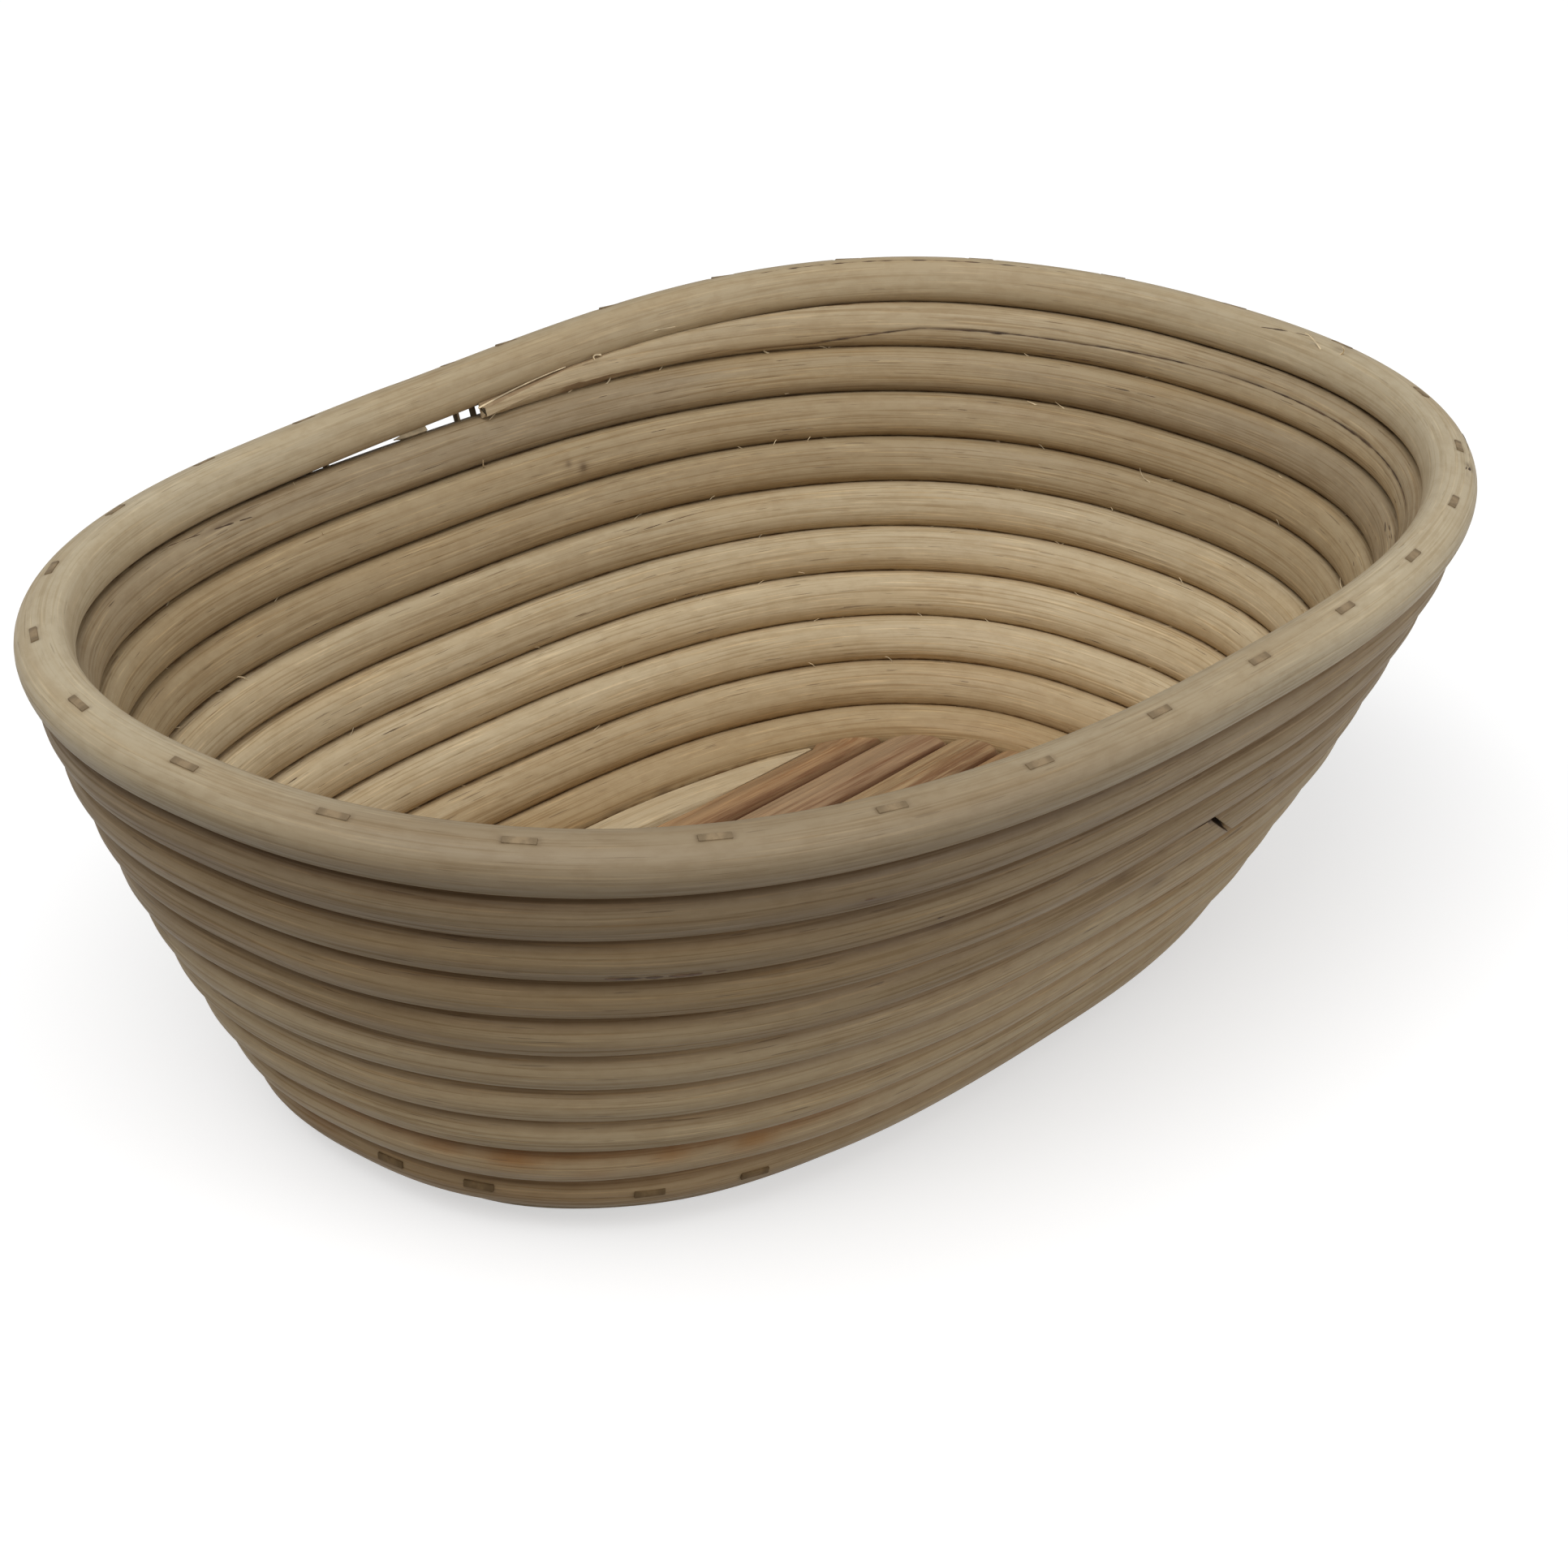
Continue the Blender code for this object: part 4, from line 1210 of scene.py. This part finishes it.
class BASKET_OT_bend_rim(bpy.types.Operator):
    """Bend the rim hoop, with a dent for every staple"""

    bl_idname = "basket.bend_rim"
    bl_label = "Bend rim hoop"

    def execute(self, context):
        settings = context.scene.basket_rim
        canes = context.scene.basket_canes
        path = CanePath(RIM_LAP_TURN, RIM_LAP_END + 1.0, rim_level)
        staples = rim_staple_turns()
        staples = np.concatenate((staples, staples + 1.0))
        staples = staples[(staples > RIM_LAP_TURN) & (staples < RIM_LAP_END + 1.0)]
        dents = path.station_of(staples)
        ends = [path.station_of(RIM_LAP_END), path.station_of(RIM_LAP_TURN + 1.0)]
        cuts, stations = ring_stations(path.length, canes.ring_spacing, [*dents, *ends])
        hoop, rings, angles = straight_cane("rim_hoop_bent", cuts, RIM_SIDES)
        angles = angles - RIM_SIDE_CROWDING * np.sin(angles)
        turns = path.turn_at(stations)
        lapped = np.where(turns > RIM_LAP_TURN + 1.0, turns - 1.0, turns)
        section = Section(angles, uneven_radius(lapped[rings] + RIM_GROWTH, angles))
        section.press(DOWNWARD, CANE_RADIUS + CONTACT_OVERLAP)
        self.dent(section, stations[rings], dents, settings.dent)
        for turn, *spot in RIM_BRUISES:
            section.darken(stations[rings], path.station_of(turn), *spot)
        whittle_lap(section, turns, rings, RIM_LAP, OUTWARD, False)
        whittle_lap(section, turns - 1.0, rings, RIM_LAP, INWARD, True)
        sway = rim_sway(turns, canes.sway)
        finish_cane(hoop, section, stations, rings, turns, path, sway, RIM_GRAIN)
        pale, straw, near_shade = settings.pale, settings.straw, settings.near_shade
        # From 1.30 to 1.42 the rim's stretch nearest the camera is darkened: painted shade
        tones = (
            (0.55, pale), (0.70, pale), (0.80, straw), (1.00, straw), (1.10, pale), (1.20, pale),
            (1.30, near_shade), (1.42, near_shade), (1.54, pale), (1.70, pale),
        )
        finish = cane_finish("rim_cane", tones, canes.stain_and_shade, 0.03, 0.0, 0.6)
        keep_piece(hoop, ["rim_hoop"], finish)
        return {"FINISHED"}

    def dent(self, section, stations, dents, depth):
        """Press a shallow trough under each staple's crown, stained where its legs go in."""
        across = np.abs(section.out)
        for place in dents:
            along = np.abs(stations - place)
            near = (along < DENT_REACH) & (section.up > 0)
            long_fade = smooth_step((DENT_HALF_LENGTH - along[near]) / DENT_END_FADE)
            wide_fade = smooth_step((DENT_HALF_WIDTH - across[near]) / DENT_SIDE_FADE)
            section.up[near] -= depth * long_fade * wide_fade
            legs = smooth_step(1.0 - np.abs(along[near] - DENT_LEG_PLACE) / DENT_LEG_REACH)
            edge = smooth_step((DENT_STAIN_HALF_WIDTH - across[near]) / DENT_STAIN_FADE)
            section.stain_and_shade[near] = np.maximum(section.stain_and_shade[near], edge * (0.08 * long_fade + 0.20 * legs))


class BASKET_OT_lay_floor(bpy.types.Operator):
    """Lay the flattened cane strips of the floor"""

    bl_idname = "basket.lay_floor"
    bl_label = "Lay floor strips"

    def execute(self, context):
        settings = context.scene.basket_floor
        finishes = {}
        for name in ("tan", "rose", "brown"):
            slot = "floor_cane_" + name
            finishes[slot] = strip_finish(slot, getattr(settings, name), settings.stain_and_shade)
        slots = list(finishes)
        outline = floor_outline()
        for number in range(1, STRIP_COUNT + 1):
            slot = slots[(number - 1) % len(slots)]
            self.lay(number, outline, slot, finishes[slot])
        return {"FINISHED"}

    def lay(self, number, outline, slot, material):
        node = f"floor_strip_{number}"
        low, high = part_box(node)
        strip, rings, angles = straight_cane(node + "_flat", STRIP_CUTS, STRIP_SIDES)
        along = rings / STRIP_CUTS ** 2
        eased = 0.5 - 0.5 * np.cos(math.pi * (0.5 - 0.5 * np.cos(math.pi * along)))
        across = signed_power(np.cos(angles), STRIP_SQUARENESS)
        upright = signed_power(np.sin(angles), STRIP_TOP_SQUARENESS)
        middle, half = (low.y + high.y) / 2, (high.y - low.y) / 2 + STRIP_SPREAD
        x, y = strip_plan(outline, number, eased, middle, half, across)
        end = np.minimum(eased, 1.0 - eased) * (high.x - low.x)
        crown = STRIP_CROWN + (STRIP_END_CROWN - STRIP_CROWN) * smooth_step(1.0 - end / STRIP_END_REACH)
        crown -= STRIP_END_DROP * smooth_step(1.0 - end / STRIP_END_ROUND)
        crown -= STRIP_EDGE_DROP * across ** 2
        if number == STRIP_COUNT:
            crown += STRIP_LAST_RISE * smooth_step(across)
        crown += STRIP_WAVE * np.sin(number * 2.1 + x * 60.0)
        z = (upright * 0.5 + 0.5) * crown
        over = np.clip(z - CANE_RADIUS, 0.0, 0.8 * CANE_RADIUS)
        lap_over = CANE_RADIUS - np.sqrt(CANE_RADIUS ** 2 - over ** 2)
        x += np.sign(along - 0.5) * lap_over * smooth_step(1.0 - end / STRIP_LAP_REACH)
        places = np.stack((x, y, z), axis=1)
        set_vertex_places(strip.data, places)
        store_vectors(strip.data, "grain", places + np.array((STRIP_GRAIN + number, 0.0, 0.0)))
        # Painted shade along both edges, in the seams between the strips
        groove = smooth_step((np.abs(across) - 0.86) / 0.1)
        cut = smooth_step(1.0 - end / STRIP_CUT_REACH)
        # One flank of each strip's upper side, darkened as bark and as painted shade
        flank = smooth_step((-across - 0.05) / 0.6) * np.where(upright > 0.0, 1.0, 0.0)
        store_vectors(strip.data, "shade_and_wear", np.stack((groove, cut, flank), axis=1))
        select_only(strip)
        bpy.ops.object.mode_set(mode="EDIT")
        bpy.ops.mesh.select_all(action="SELECT")
        bpy.ops.mesh.normals_make_consistent(inside=False)
        bpy.ops.object.mode_set(mode="OBJECT")
        shade(strip, STRIP_SHARP_DEGREES)
        keep_piece(strip, [node], material)


def floor_outline():
    """Plan of the floor: where the first turn's inner side stands, from its tip once round."""
    turns = np.linspace(START_TURN, START_TURN + 1.0, OUTLINE_STEPS)
    places = Winding(turns, turns)
    return places.centre - places.out * (start_reach(turns) - CONTACT_OVERLAP)[:, None]


def sorted_by(points, axis):
    return points[np.argsort(points[:, axis])]


def strip_plan(outline, number, along, middle, half, across):
    """Plan of a strip: its two ends, and an outer strip's long edge, follow the oval."""
    right = sorted_by(outline[outline[:, 0] > 0], 1)
    left = sorted_by(outline[outline[:, 0] <= 0], 1)
    if 1 < number < STRIP_COUNT:
        y = middle + half * across
    else:
        side = 1.0 if number == STRIP_COUNT else -1.0
        y = np.full_like(along, middle - side * half)
    x_low = np.interp(y, left[:, 1], left[:, 0])
    x_high = np.interp(y, right[:, 1], right[:, 0])
    x = x_low + (x_high - x_low) * along
    if not 1 < number < STRIP_COUNT:
        edge = sorted_by(outline[outline[:, 1] * side > 0], 0)
        reach = side * (np.interp(x, edge[:, 0], edge[:, 1]) - y)
        reach = np.clip(reach, STRIP_LEAST_WIDTH, 2 * half)
        y = y + side * reach * (0.5 + 0.5 * side * across)
    return x, y


def rim_staple_turns():
    """Turn numbers of the rim staples, evenly spaced along the rim."""
    path = CanePath(0.0, 1.0, rim_level)
    return path.turn_at((np.arange(RIM_STAPLE_COUNT) + 0.5) * path.length / RIM_STAPLE_COUNT)


class BASKET_OT_drive_staples(bpy.types.Operator):
    """Drive a wire staple at every place where the solids have one"""

    bl_idname = "basket.drive_staples"
    bl_label = "Drive staples"

    def execute(self, context):
        settings = context.scene.basket_staples
        bright = wire_finish("staple_wire", settings.wire)
        rusty = wire_finish("staple_wire_rusty", settings.rust)
        brown = wire_finish("staple_wire_brown", settings.brown)
        groups = (
            ("rim_staple", RIM_STAPLE_COUNT, 0.0, bright),
            ("wall_staple", WALL_STAPLE_COUNT, WALL_STAPLE_LIFT, rusty),
            ("floor_staple", FLOOR_STAPLE_COUNT, FLOOR_STAPLE_LIFT, rusty),
        )
        rim_turns = rim_staple_turns()
        for kind, count, lift, material in groups:
            first_size = staple_pose(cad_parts[f"{kind}_01"])[1:]
            pattern = self.bend_wire(*first_size, settings)
            for number in range(1, count + 1):
                node = f"{kind}_{number:02d}"
                pose = staple_pose(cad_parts[node])[0]
                if kind == "rim_staple":
                    turn = rim_turns[number - 1]
                    lift = rim_staple_lift(pose, turn)
                    pose = rim_staple_nudge(turn, RIM_STAPLE_NUDGES.get(number, 0.0)) @ pose
                pose = pose @ Matrix.Translation((0.0, 0.0, lift))
                self.drive(pattern, node + "_wire", [node], pose, material)
            if kind == "wall_staple":
                for number, (turn, angle) in enumerate(FOOT_STAPLES, 1):
                    pose = foot_staple_pose(turn, angle)
                    self.drive(pattern, f"foot_staple_{number}", [], pose, brown)
            pattern_mesh = pattern.data
            bpy.data.objects.remove(pattern)
            bpy.data.meshes.remove(pattern_mesh)
        return {"FINISHED"}

    def bend_wire(self, crown, leg, settings):
        """Bend one staple with rounded edges, its crown along X and its legs down Z."""
        deselect_all()
        bpy.ops.mesh.primitive_cube_add(size=1.0)
        staple = bpy.context.object
        staple.scale = (crown, settings.wire_width, settings.wire_thickness)
        staple.location = (0.0, 0.0, -settings.wire_thickness / 2)
        bpy.ops.object.transform_apply(location=True, rotation=True, scale=True)
        bend_legs(staple, crown, leg, settings.wire_thickness)
        store_numbers(staple.data, "crown", vertex_places(staple.data)[:, 0] / (crown / 2))
        shade(staple, STAPLE_SHARP_DEGREES)
        return staple

    def drive(self, pattern, name, nodes, pose, material):
        """Copy the bent staple, and put the copy in its place."""
        select_only(pattern)
        bpy.ops.object.duplicate(linked=False)
        staple = bpy.context.object
        staple.name = name
        staple.data.name = name
        staple.data.transform(pose)
        keep_piece(staple, nodes, material)


def rim_staple_lift(pose, turn):
    """How far a rim staple rises, so that its crown stands just proud of the uneven rim."""
    centre = Winding([turn], [rim_level(turn)]).centre[0]
    stands = (np.array(pose.translation) - centre) @ np.array(pose.col[2][:3])
    return float(uneven_radius(turn + RIM_GROWTH, 0.0) + STAPLE_PROUD - stands)


def rim_staple_nudge(turn, by):
    """The move that takes a rim staple along by part of a turn."""
    turns = np.array([turn, turn + by])
    here, there = Winding(turns, rim_level(turns)).centre
    return Matrix.Translation(Vector(there - here))


def foot_staple_pose(turn, angle):
    """A staple driven straight into a turn from its outer side, with its crown along the cane."""
    place = Winding([turn], [turn])
    radial = place.radial(angle)[0]
    along = place.along[0]
    across = np.cross(radial, along)
    top = place.centre[0] + radial * (uneven_radius(turn, angle) + FOOT_STAPLE_PROUD)
    turned = Matrix((along, across, radial)).transposed().to_4x4()
    return Matrix.Translation(Vector(top)) @ turned


def bend_legs(staple, crown, leg, thickness):
    """Cut a crown bar near its ends, draw the legs down from it, and round the wire's edges."""
    select_only(staple)
    bpy.context.tool_settings.mesh_select_mode = (False, False, True)
    bpy.ops.object.mode_set(mode="EDIT")
    for side in (-1, 1):
        bpy.ops.mesh.select_all(action="SELECT")
        bpy.ops.mesh.bisect(plane_co=(side * (crown / 2 - thickness), 0, 0), plane_no=(1, 0, 0))
    bpy.ops.mesh.select_all(action="DESELECT")
    bpy.ops.object.mode_set(mode="OBJECT")
    for face in staple.data.polygons:
        outer = abs(face.center.x) > crown / 2 - thickness and abs(face.normal.x) < 0.5
        face.select = outer and face.normal.z < -0.5
    bpy.ops.object.mode_set(mode="EDIT")
    bpy.ops.mesh.extrude_region_move(TRANSFORM_OT_translate={"value": (0, 0, thickness - leg)})
    bpy.ops.object.mode_set(mode="OBJECT")
    rounding = staple.modifiers.new("round", "BEVEL")
    rounding.width = STAPLE_ROUNDING
    rounding.segments = 2
    rounding.limit_method = "ANGLE"
    bpy.ops.object.modifier_apply(modifier=rounding.name)


def staple_pose(node):
    """A solid staple's place, with its crown along X and its legs down Z, its crown and its leg."""
    points = np.unique(np.round(vertex_places(node.data), 7), axis=0)
    middle = points.mean(axis=0)
    leg_axis, crown_axis, _ = np.linalg.svd(points - middle, full_matrices=False)[2]
    depth = (points - middle) @ leg_axis
    between = depth[(depth > depth.min() + STAPLE_MARGIN) & (depth < depth.max() - STAPLE_MARGIN)]
    if between.mean() < (depth.min() + depth.max()) / 2:
        leg_axis = -leg_axis
        depth = -depth
    width_axis = np.cross(leg_axis, crown_axis)
    sides = (points - middle) @ crown_axis
    widths = (points - middle) @ width_axis
    top = (
        middle + leg_axis * depth.max()
        + crown_axis * (sides.max() + sides.min()) / 2
        + width_axis * (widths.max() + widths.min()) / 2
    )
    turn = Matrix((crown_axis, width_axis, leg_axis)).transposed().to_4x4()
    return Matrix.Translation(Vector(top)) @ turn, float(np.ptp(sides)), float(np.ptp(depth))


class BASKET_OT_raise_fibres(bpy.types.Operator):
    """Raise the loose fibres that stand along the grooves, and open the fine cracks along the grain"""

    bl_idname = "basket.raise_fibres"
    bl_label = "Raise fibres and open cracks"

    def execute(self, context):
        settings = context.scene.basket_fibres
        canes = context.scene.basket_canes
        draw = np.random.default_rng(settings.seed)
        curl = self.new_curve("loose_fibres", settings.thickness)
        for fibres, level_of in ((WALL_FIBRES, wall_level), (RIM_FIBRES, rim_level)):
            for turn, degrees, *shape in fibres:
                angle = math.radians(degrees)
                self.grow(curl.data, turn, level_of(turn), angle, *shape, PLAIN_FIBRE_THICKNESS)
        for _ in range(settings.count):
            turn = draw.uniform(*FIBRE_TURNS)
            angle = draw.choice((draw.uniform(*UPPER_GROOVE), draw.uniform(*LOWER_GROOVE)))
            length = draw.uniform(*FIBRE_LENGTHS)
            lift = draw.uniform(*FIBRE_LIFTS)
            way = draw.choice((-1.0, 1.0))
            self.grow(curl.data, turn, turn, angle, length, lift, way, SMALL_FIBRE_THICKNESS)
        self.split_strand(curl.data, settings.thickness)
        self.catch_sliver(curl.data, settings.thickness)
        self.keep_curve(curl, fibre_finish("loose_fibre", scaled(canes.pale, 1.25)))
        dark = self.new_curve("drying_cracks", settings.thickness)
        for cane, start, end, first, last, half_width in DRYING_CRACKS:
            turns = np.linspace(start, end, math.ceil((end - start) / CRACK_STEP) + 1)
            angles = np.radians(np.linspace(first, last, len(turns)))
            self.open_crack(dark.data, cane, turns, angles, half_width, settings.thickness, canes.sway)
        for _ in range(settings.checks):
            start = draw.uniform(*CHECK_TURNS)
            turns = start + np.linspace(0.0, draw.uniform(*CHECK_LENGTHS), CHECK_POINTS)
            angles = np.full(CHECK_POINTS, draw.uniform(*CHECK_DIRECTIONS))
            half_width = draw.uniform(*CHECK_HALF_WIDTHS)
            self.open_crack(dark.data, "wall", turns, angles, half_width, settings.thickness, canes.sway)
        self.keep_curve(dark, fibre_finish("drying_crack", canes.stain_and_shade))
        return {"FINISHED"}

    def new_curve(self, name, thickness):
        deselect_all()
        bpy.ops.curve.primitive_bezier_curve_add()
        line = bpy.context.object
        line.name = name
        line.data.splines.clear()
        line.data.dimensions = "3D"
        line.data.bevel_depth = thickness
        line.data.bevel_resolution = 0
        line.data.use_fill_caps = True
        return line

    def keep_curve(self, line, material):
        select_only(line)
        bpy.ops.object.convert(target="MESH")
        line = bpy.context.object
        shade(line, FIBRE_SHARP_DEGREES)
        keep_piece(line, [], material)

    def grow(self, curve, turn, level, angle, length, lift, way, thick):
        """One fibre: it starts in the cane, lies along it and curls away."""
        place = Winding([turn], [level])
        radial = place.radial(angle)
        side = place.radial(angle + math.pi / 2)
        root = place.centre + radial * (CANE_RADIUS - FIBRE_ROOT_DEPTH)
        share = np.linspace(0.0, 1.0, FIBRE_STEPS)[:, None]
        forward = way * length * (share - 0.35 * lift * share ** 3)
        away = 0.0003 * share + length * lift * 0.6 * share ** 2
        sideways = 0.35 * length * lift * np.sin(2.2 * share + 9.0 * turn) * share
        points = root + place.along * forward + radial * away + side * sideways
        self.draw_line(curve, points, thick * (1.0 - 0.7 * share[:, 0]))

    def open_crack(self, curve, cane, turns, angles, half_width, thickness, sway):
        """A dark line along a cane's surface, broken and fine at its ends."""
        if cane == "rim":
            here = Winding(turns, rim_level(turns))
            radius = uneven_radius(turns + RIM_GROWTH, angles)
            shift = rim_sway(turns, sway)
        else:
            here = Winding(turns, turns)
            radius = uneven_radius(turns, angles)
            shift = wall_sway(turns, sway)
        depth = radius - 0.4 * half_width
        points = here.centre + here.face * shift[:, None] + here.radial(angles) * depth[:, None]
        share = np.linspace(0.0, 1.0, len(turns))
        ends = np.minimum(1.0, 4.0 * np.minimum(share, 1.0 - share))
        broken = np.clip(0.75 + 0.7 * wander(turns, (83.0, 131.0, 211.0), 0.7), 0.25, 1.2)
        self.draw_line(curve, points, half_width / thickness * broken * (0.2 + 0.8 * ends))

    def draw_line(self, curve, points, radii):
        line = curve.splines.new("POLY")
        line.points.add(len(points) - 1)
        for number, point in enumerate(points):
            line.points[number].co = (*point, 1.0)
            line.points[number].radius = radii[number]

    def split_strand(self, curve, thickness):
        """The upper strand of the slat, split off near the tip."""
        turns = np.linspace(STRAND_START, STRAND_END, STRAND_POINTS)
        here = Winding(turns, turns)
        to_rim = toward(here, Winding(turns, rim_level(turns)).centre)[1]
        share = np.linspace(0.0, 1.0, STRAND_POINTS)
        up = to_rim - STRAND_BELOW_RIM - STRAND_DROP * share ** 2
        points = here.centre + here.rise * up[:, None] - here.face * STRAND_FRONT
        self.draw_line(curve, points, STRAND_RADIUS * (1.0 + share) / thickness)

    def catch_sliver(self, curve, thickness):
        """A torn sliver, caught in the slit between the rim and the turn below it."""
        past_tip = np.linspace(SLIVER_START, SLIVER_END, SLIVER_POINTS)
        turns = WALL_TURNS - 1.0 + past_tip
        below = Winding(turns, turns).centre
        above = Winding(past_tip, rim_level(past_tip)).centre
        slit = np.linalg.norm(above - below, axis=1) - 2 * CANE_RADIUS
        taper = 0.2 + 0.8 * smooth_step(np.linspace(2.0, 0.0, SLIVER_POINTS))
        self.draw_line(curve, (above + below) / 2, (slit / 2 + SLIVER_OVERLAP) * taper / thickness)


class BASKET_OT_set_stage(bpy.types.Operator):
    """Set the floor, the soft lights and the camera"""

    bl_idname = "basket.set_stage"
    bl_label = "Set stage"

    def execute(self, context):
        settings = context.scene.basket_stage
        self.lay_ground(settings)
        self.set_lights(settings)
        self.set_camera(context)
        context.scene.view_settings.view_transform = "Standard"
        return {"FINISHED"}

    def lay_ground(self, settings):
        deselect_all()
        bpy.ops.mesh.primitive_plane_add(size=FLOOR_SIZE)
        ground = bpy.context.object
        ground.name = "studio_floor"
        ground.data.materials.append(ground_finish("studio_floor", settings))

    def set_lights(self, settings):
        back, right, _ = camera_axes()
        left = level_direction(-right)
        front = level_direction(back)
        lights = (
            ("key_light", KEY_PLACE, KEY_SIZE, settings.key_power),
            ("side_light", SIDE_PLACE, SIDE_SIZE, settings.side_power),
        )
        for name, (sideways, forward, height), size, power in lights:
            place = BASKET_MIDDLE + left * sideways + front * forward + UP * height
            self.soft_light(name, place, size, power)
        world = bpy.data.worlds.new("studio_world")
        world.use_nodes = True
        sky = world.node_tree.nodes["Background"]
        sky.inputs["Color"].default_value = WORLD_COLOUR
        sky.inputs["Strength"].default_value = settings.world
        bpy.context.scene.world = world

    def soft_light(self, name, place, size, power):
        deselect_all()
        bpy.ops.object.light_add(type="AREA", location=place)
        lamp = bpy.context.object
        lamp.name = name
        lamp.data.size = size
        lamp.data.energy = power
        aim = Vector(BASKET_MIDDLE - place)
        lamp.rotation_mode = "QUATERNION"
        lamp.rotation_quaternion = aim.to_track_quat("-Z", "Y")

    def set_camera(self, context):
        back, right, up = camera_axes()
        target = CAMERA_TARGET - RIM_MIDDLE
        deselect_all()
        bpy.ops.object.camera_add(location=target + back * CAMERA_DISTANCE)
        camera = bpy.context.object
        camera.name = "photo_camera"
        camera.rotation_mode = "QUATERNION"
        camera.rotation_quaternion = Matrix((right, up, back)).transposed().to_quaternion()
        camera.data.sensor_width = SENSOR_WIDTH
        camera.data.lens = FOCAL_PIXELS / IMAGE_WIDTH * SENSOR_WIDTH
        camera.data.clip_start = NEAREST_SEEN
        camera.data.clip_end = FURTHEST_SEEN
        context.scene.camera = camera


def level_direction(direction):
    level = direction * (1.0, 1.0, 0.0)
    return level / np.linalg.norm(level)


def camera_axes():
    """The camera's backward, right and up directions."""
    azimuth, elevation, roll = CAMERA_AZIMUTH, CAMERA_ELEVATION, CAMERA_ROLL
    back = np.array((
        math.sin(azimuth) * math.cos(elevation),
        -math.cos(azimuth) * math.cos(elevation),
        math.sin(elevation),
    ))
    level = np.array((math.cos(azimuth), math.sin(azimuth), 0.0))
    upright = np.cross(back, level)
    right = math.cos(roll) * level + math.sin(roll) * upright
    up = -math.sin(roll) * level + math.cos(roll) * upright
    return back, right, up


class BASKET_PT_panel(bpy.types.Panel):
    """Steps that finish the basket, in order"""

    bl_idname = "BASKET_PT_panel"
    bl_label = "Proofing basket"
    bl_space_type = "VIEW_3D"
    bl_region_type = "UI"
    bl_category = "Basket"

    def draw(self, context):
        for step in STEPS:
            self.layout.operator(step.bl_idname)
        for name, group in SETTINGS.items():
            box = self.layout.box()
            box.label(text=name.removeprefix("basket_").capitalize())
            for setting in group.__annotations__:
                box.prop(getattr(context.scene, name), setting)


SETTINGS = {
    "basket_canes": CaneSettings,
    "basket_rim": RimSettings,
    "basket_floor": FloorSettings,
    "basket_staples": StapleSettings,
    "basket_fibres": FibreSettings,
    "basket_stage": StageSettings,
}
STEPS = (
    BASKET_OT_wind_wall,
    BASKET_OT_bend_rim,
    BASKET_OT_lay_floor,
    BASKET_OT_drive_staples,
    BASKET_OT_raise_fibres,
    BASKET_OT_set_stage,
)


def register():
    for kind in (*SETTINGS.values(), *STEPS, BASKET_PT_panel):
        bpy.utils.register_class(kind)
    for name, group in SETTINGS.items():
        setattr(bpy.types.Scene, name, bpy.props.PointerProperty(type=group))


def unregister():
    for name in SETTINGS:
        delattr(bpy.types.Scene, name)
    for kind in reversed((*SETTINGS.values(), *STEPS, BASKET_PT_panel)):
        bpy.utils.unregister_class(kind)


def main():
    register()
    bpy.ops.basket.wind_wall()
    bpy.ops.basket.bend_rim()
    bpy.ops.basket.lay_floor()
    bpy.ops.basket.drive_staples()
    bpy.ops.basket.raise_fibres()
    bpy.ops.basket.set_stage()


if __name__ == "__main__":
    main()
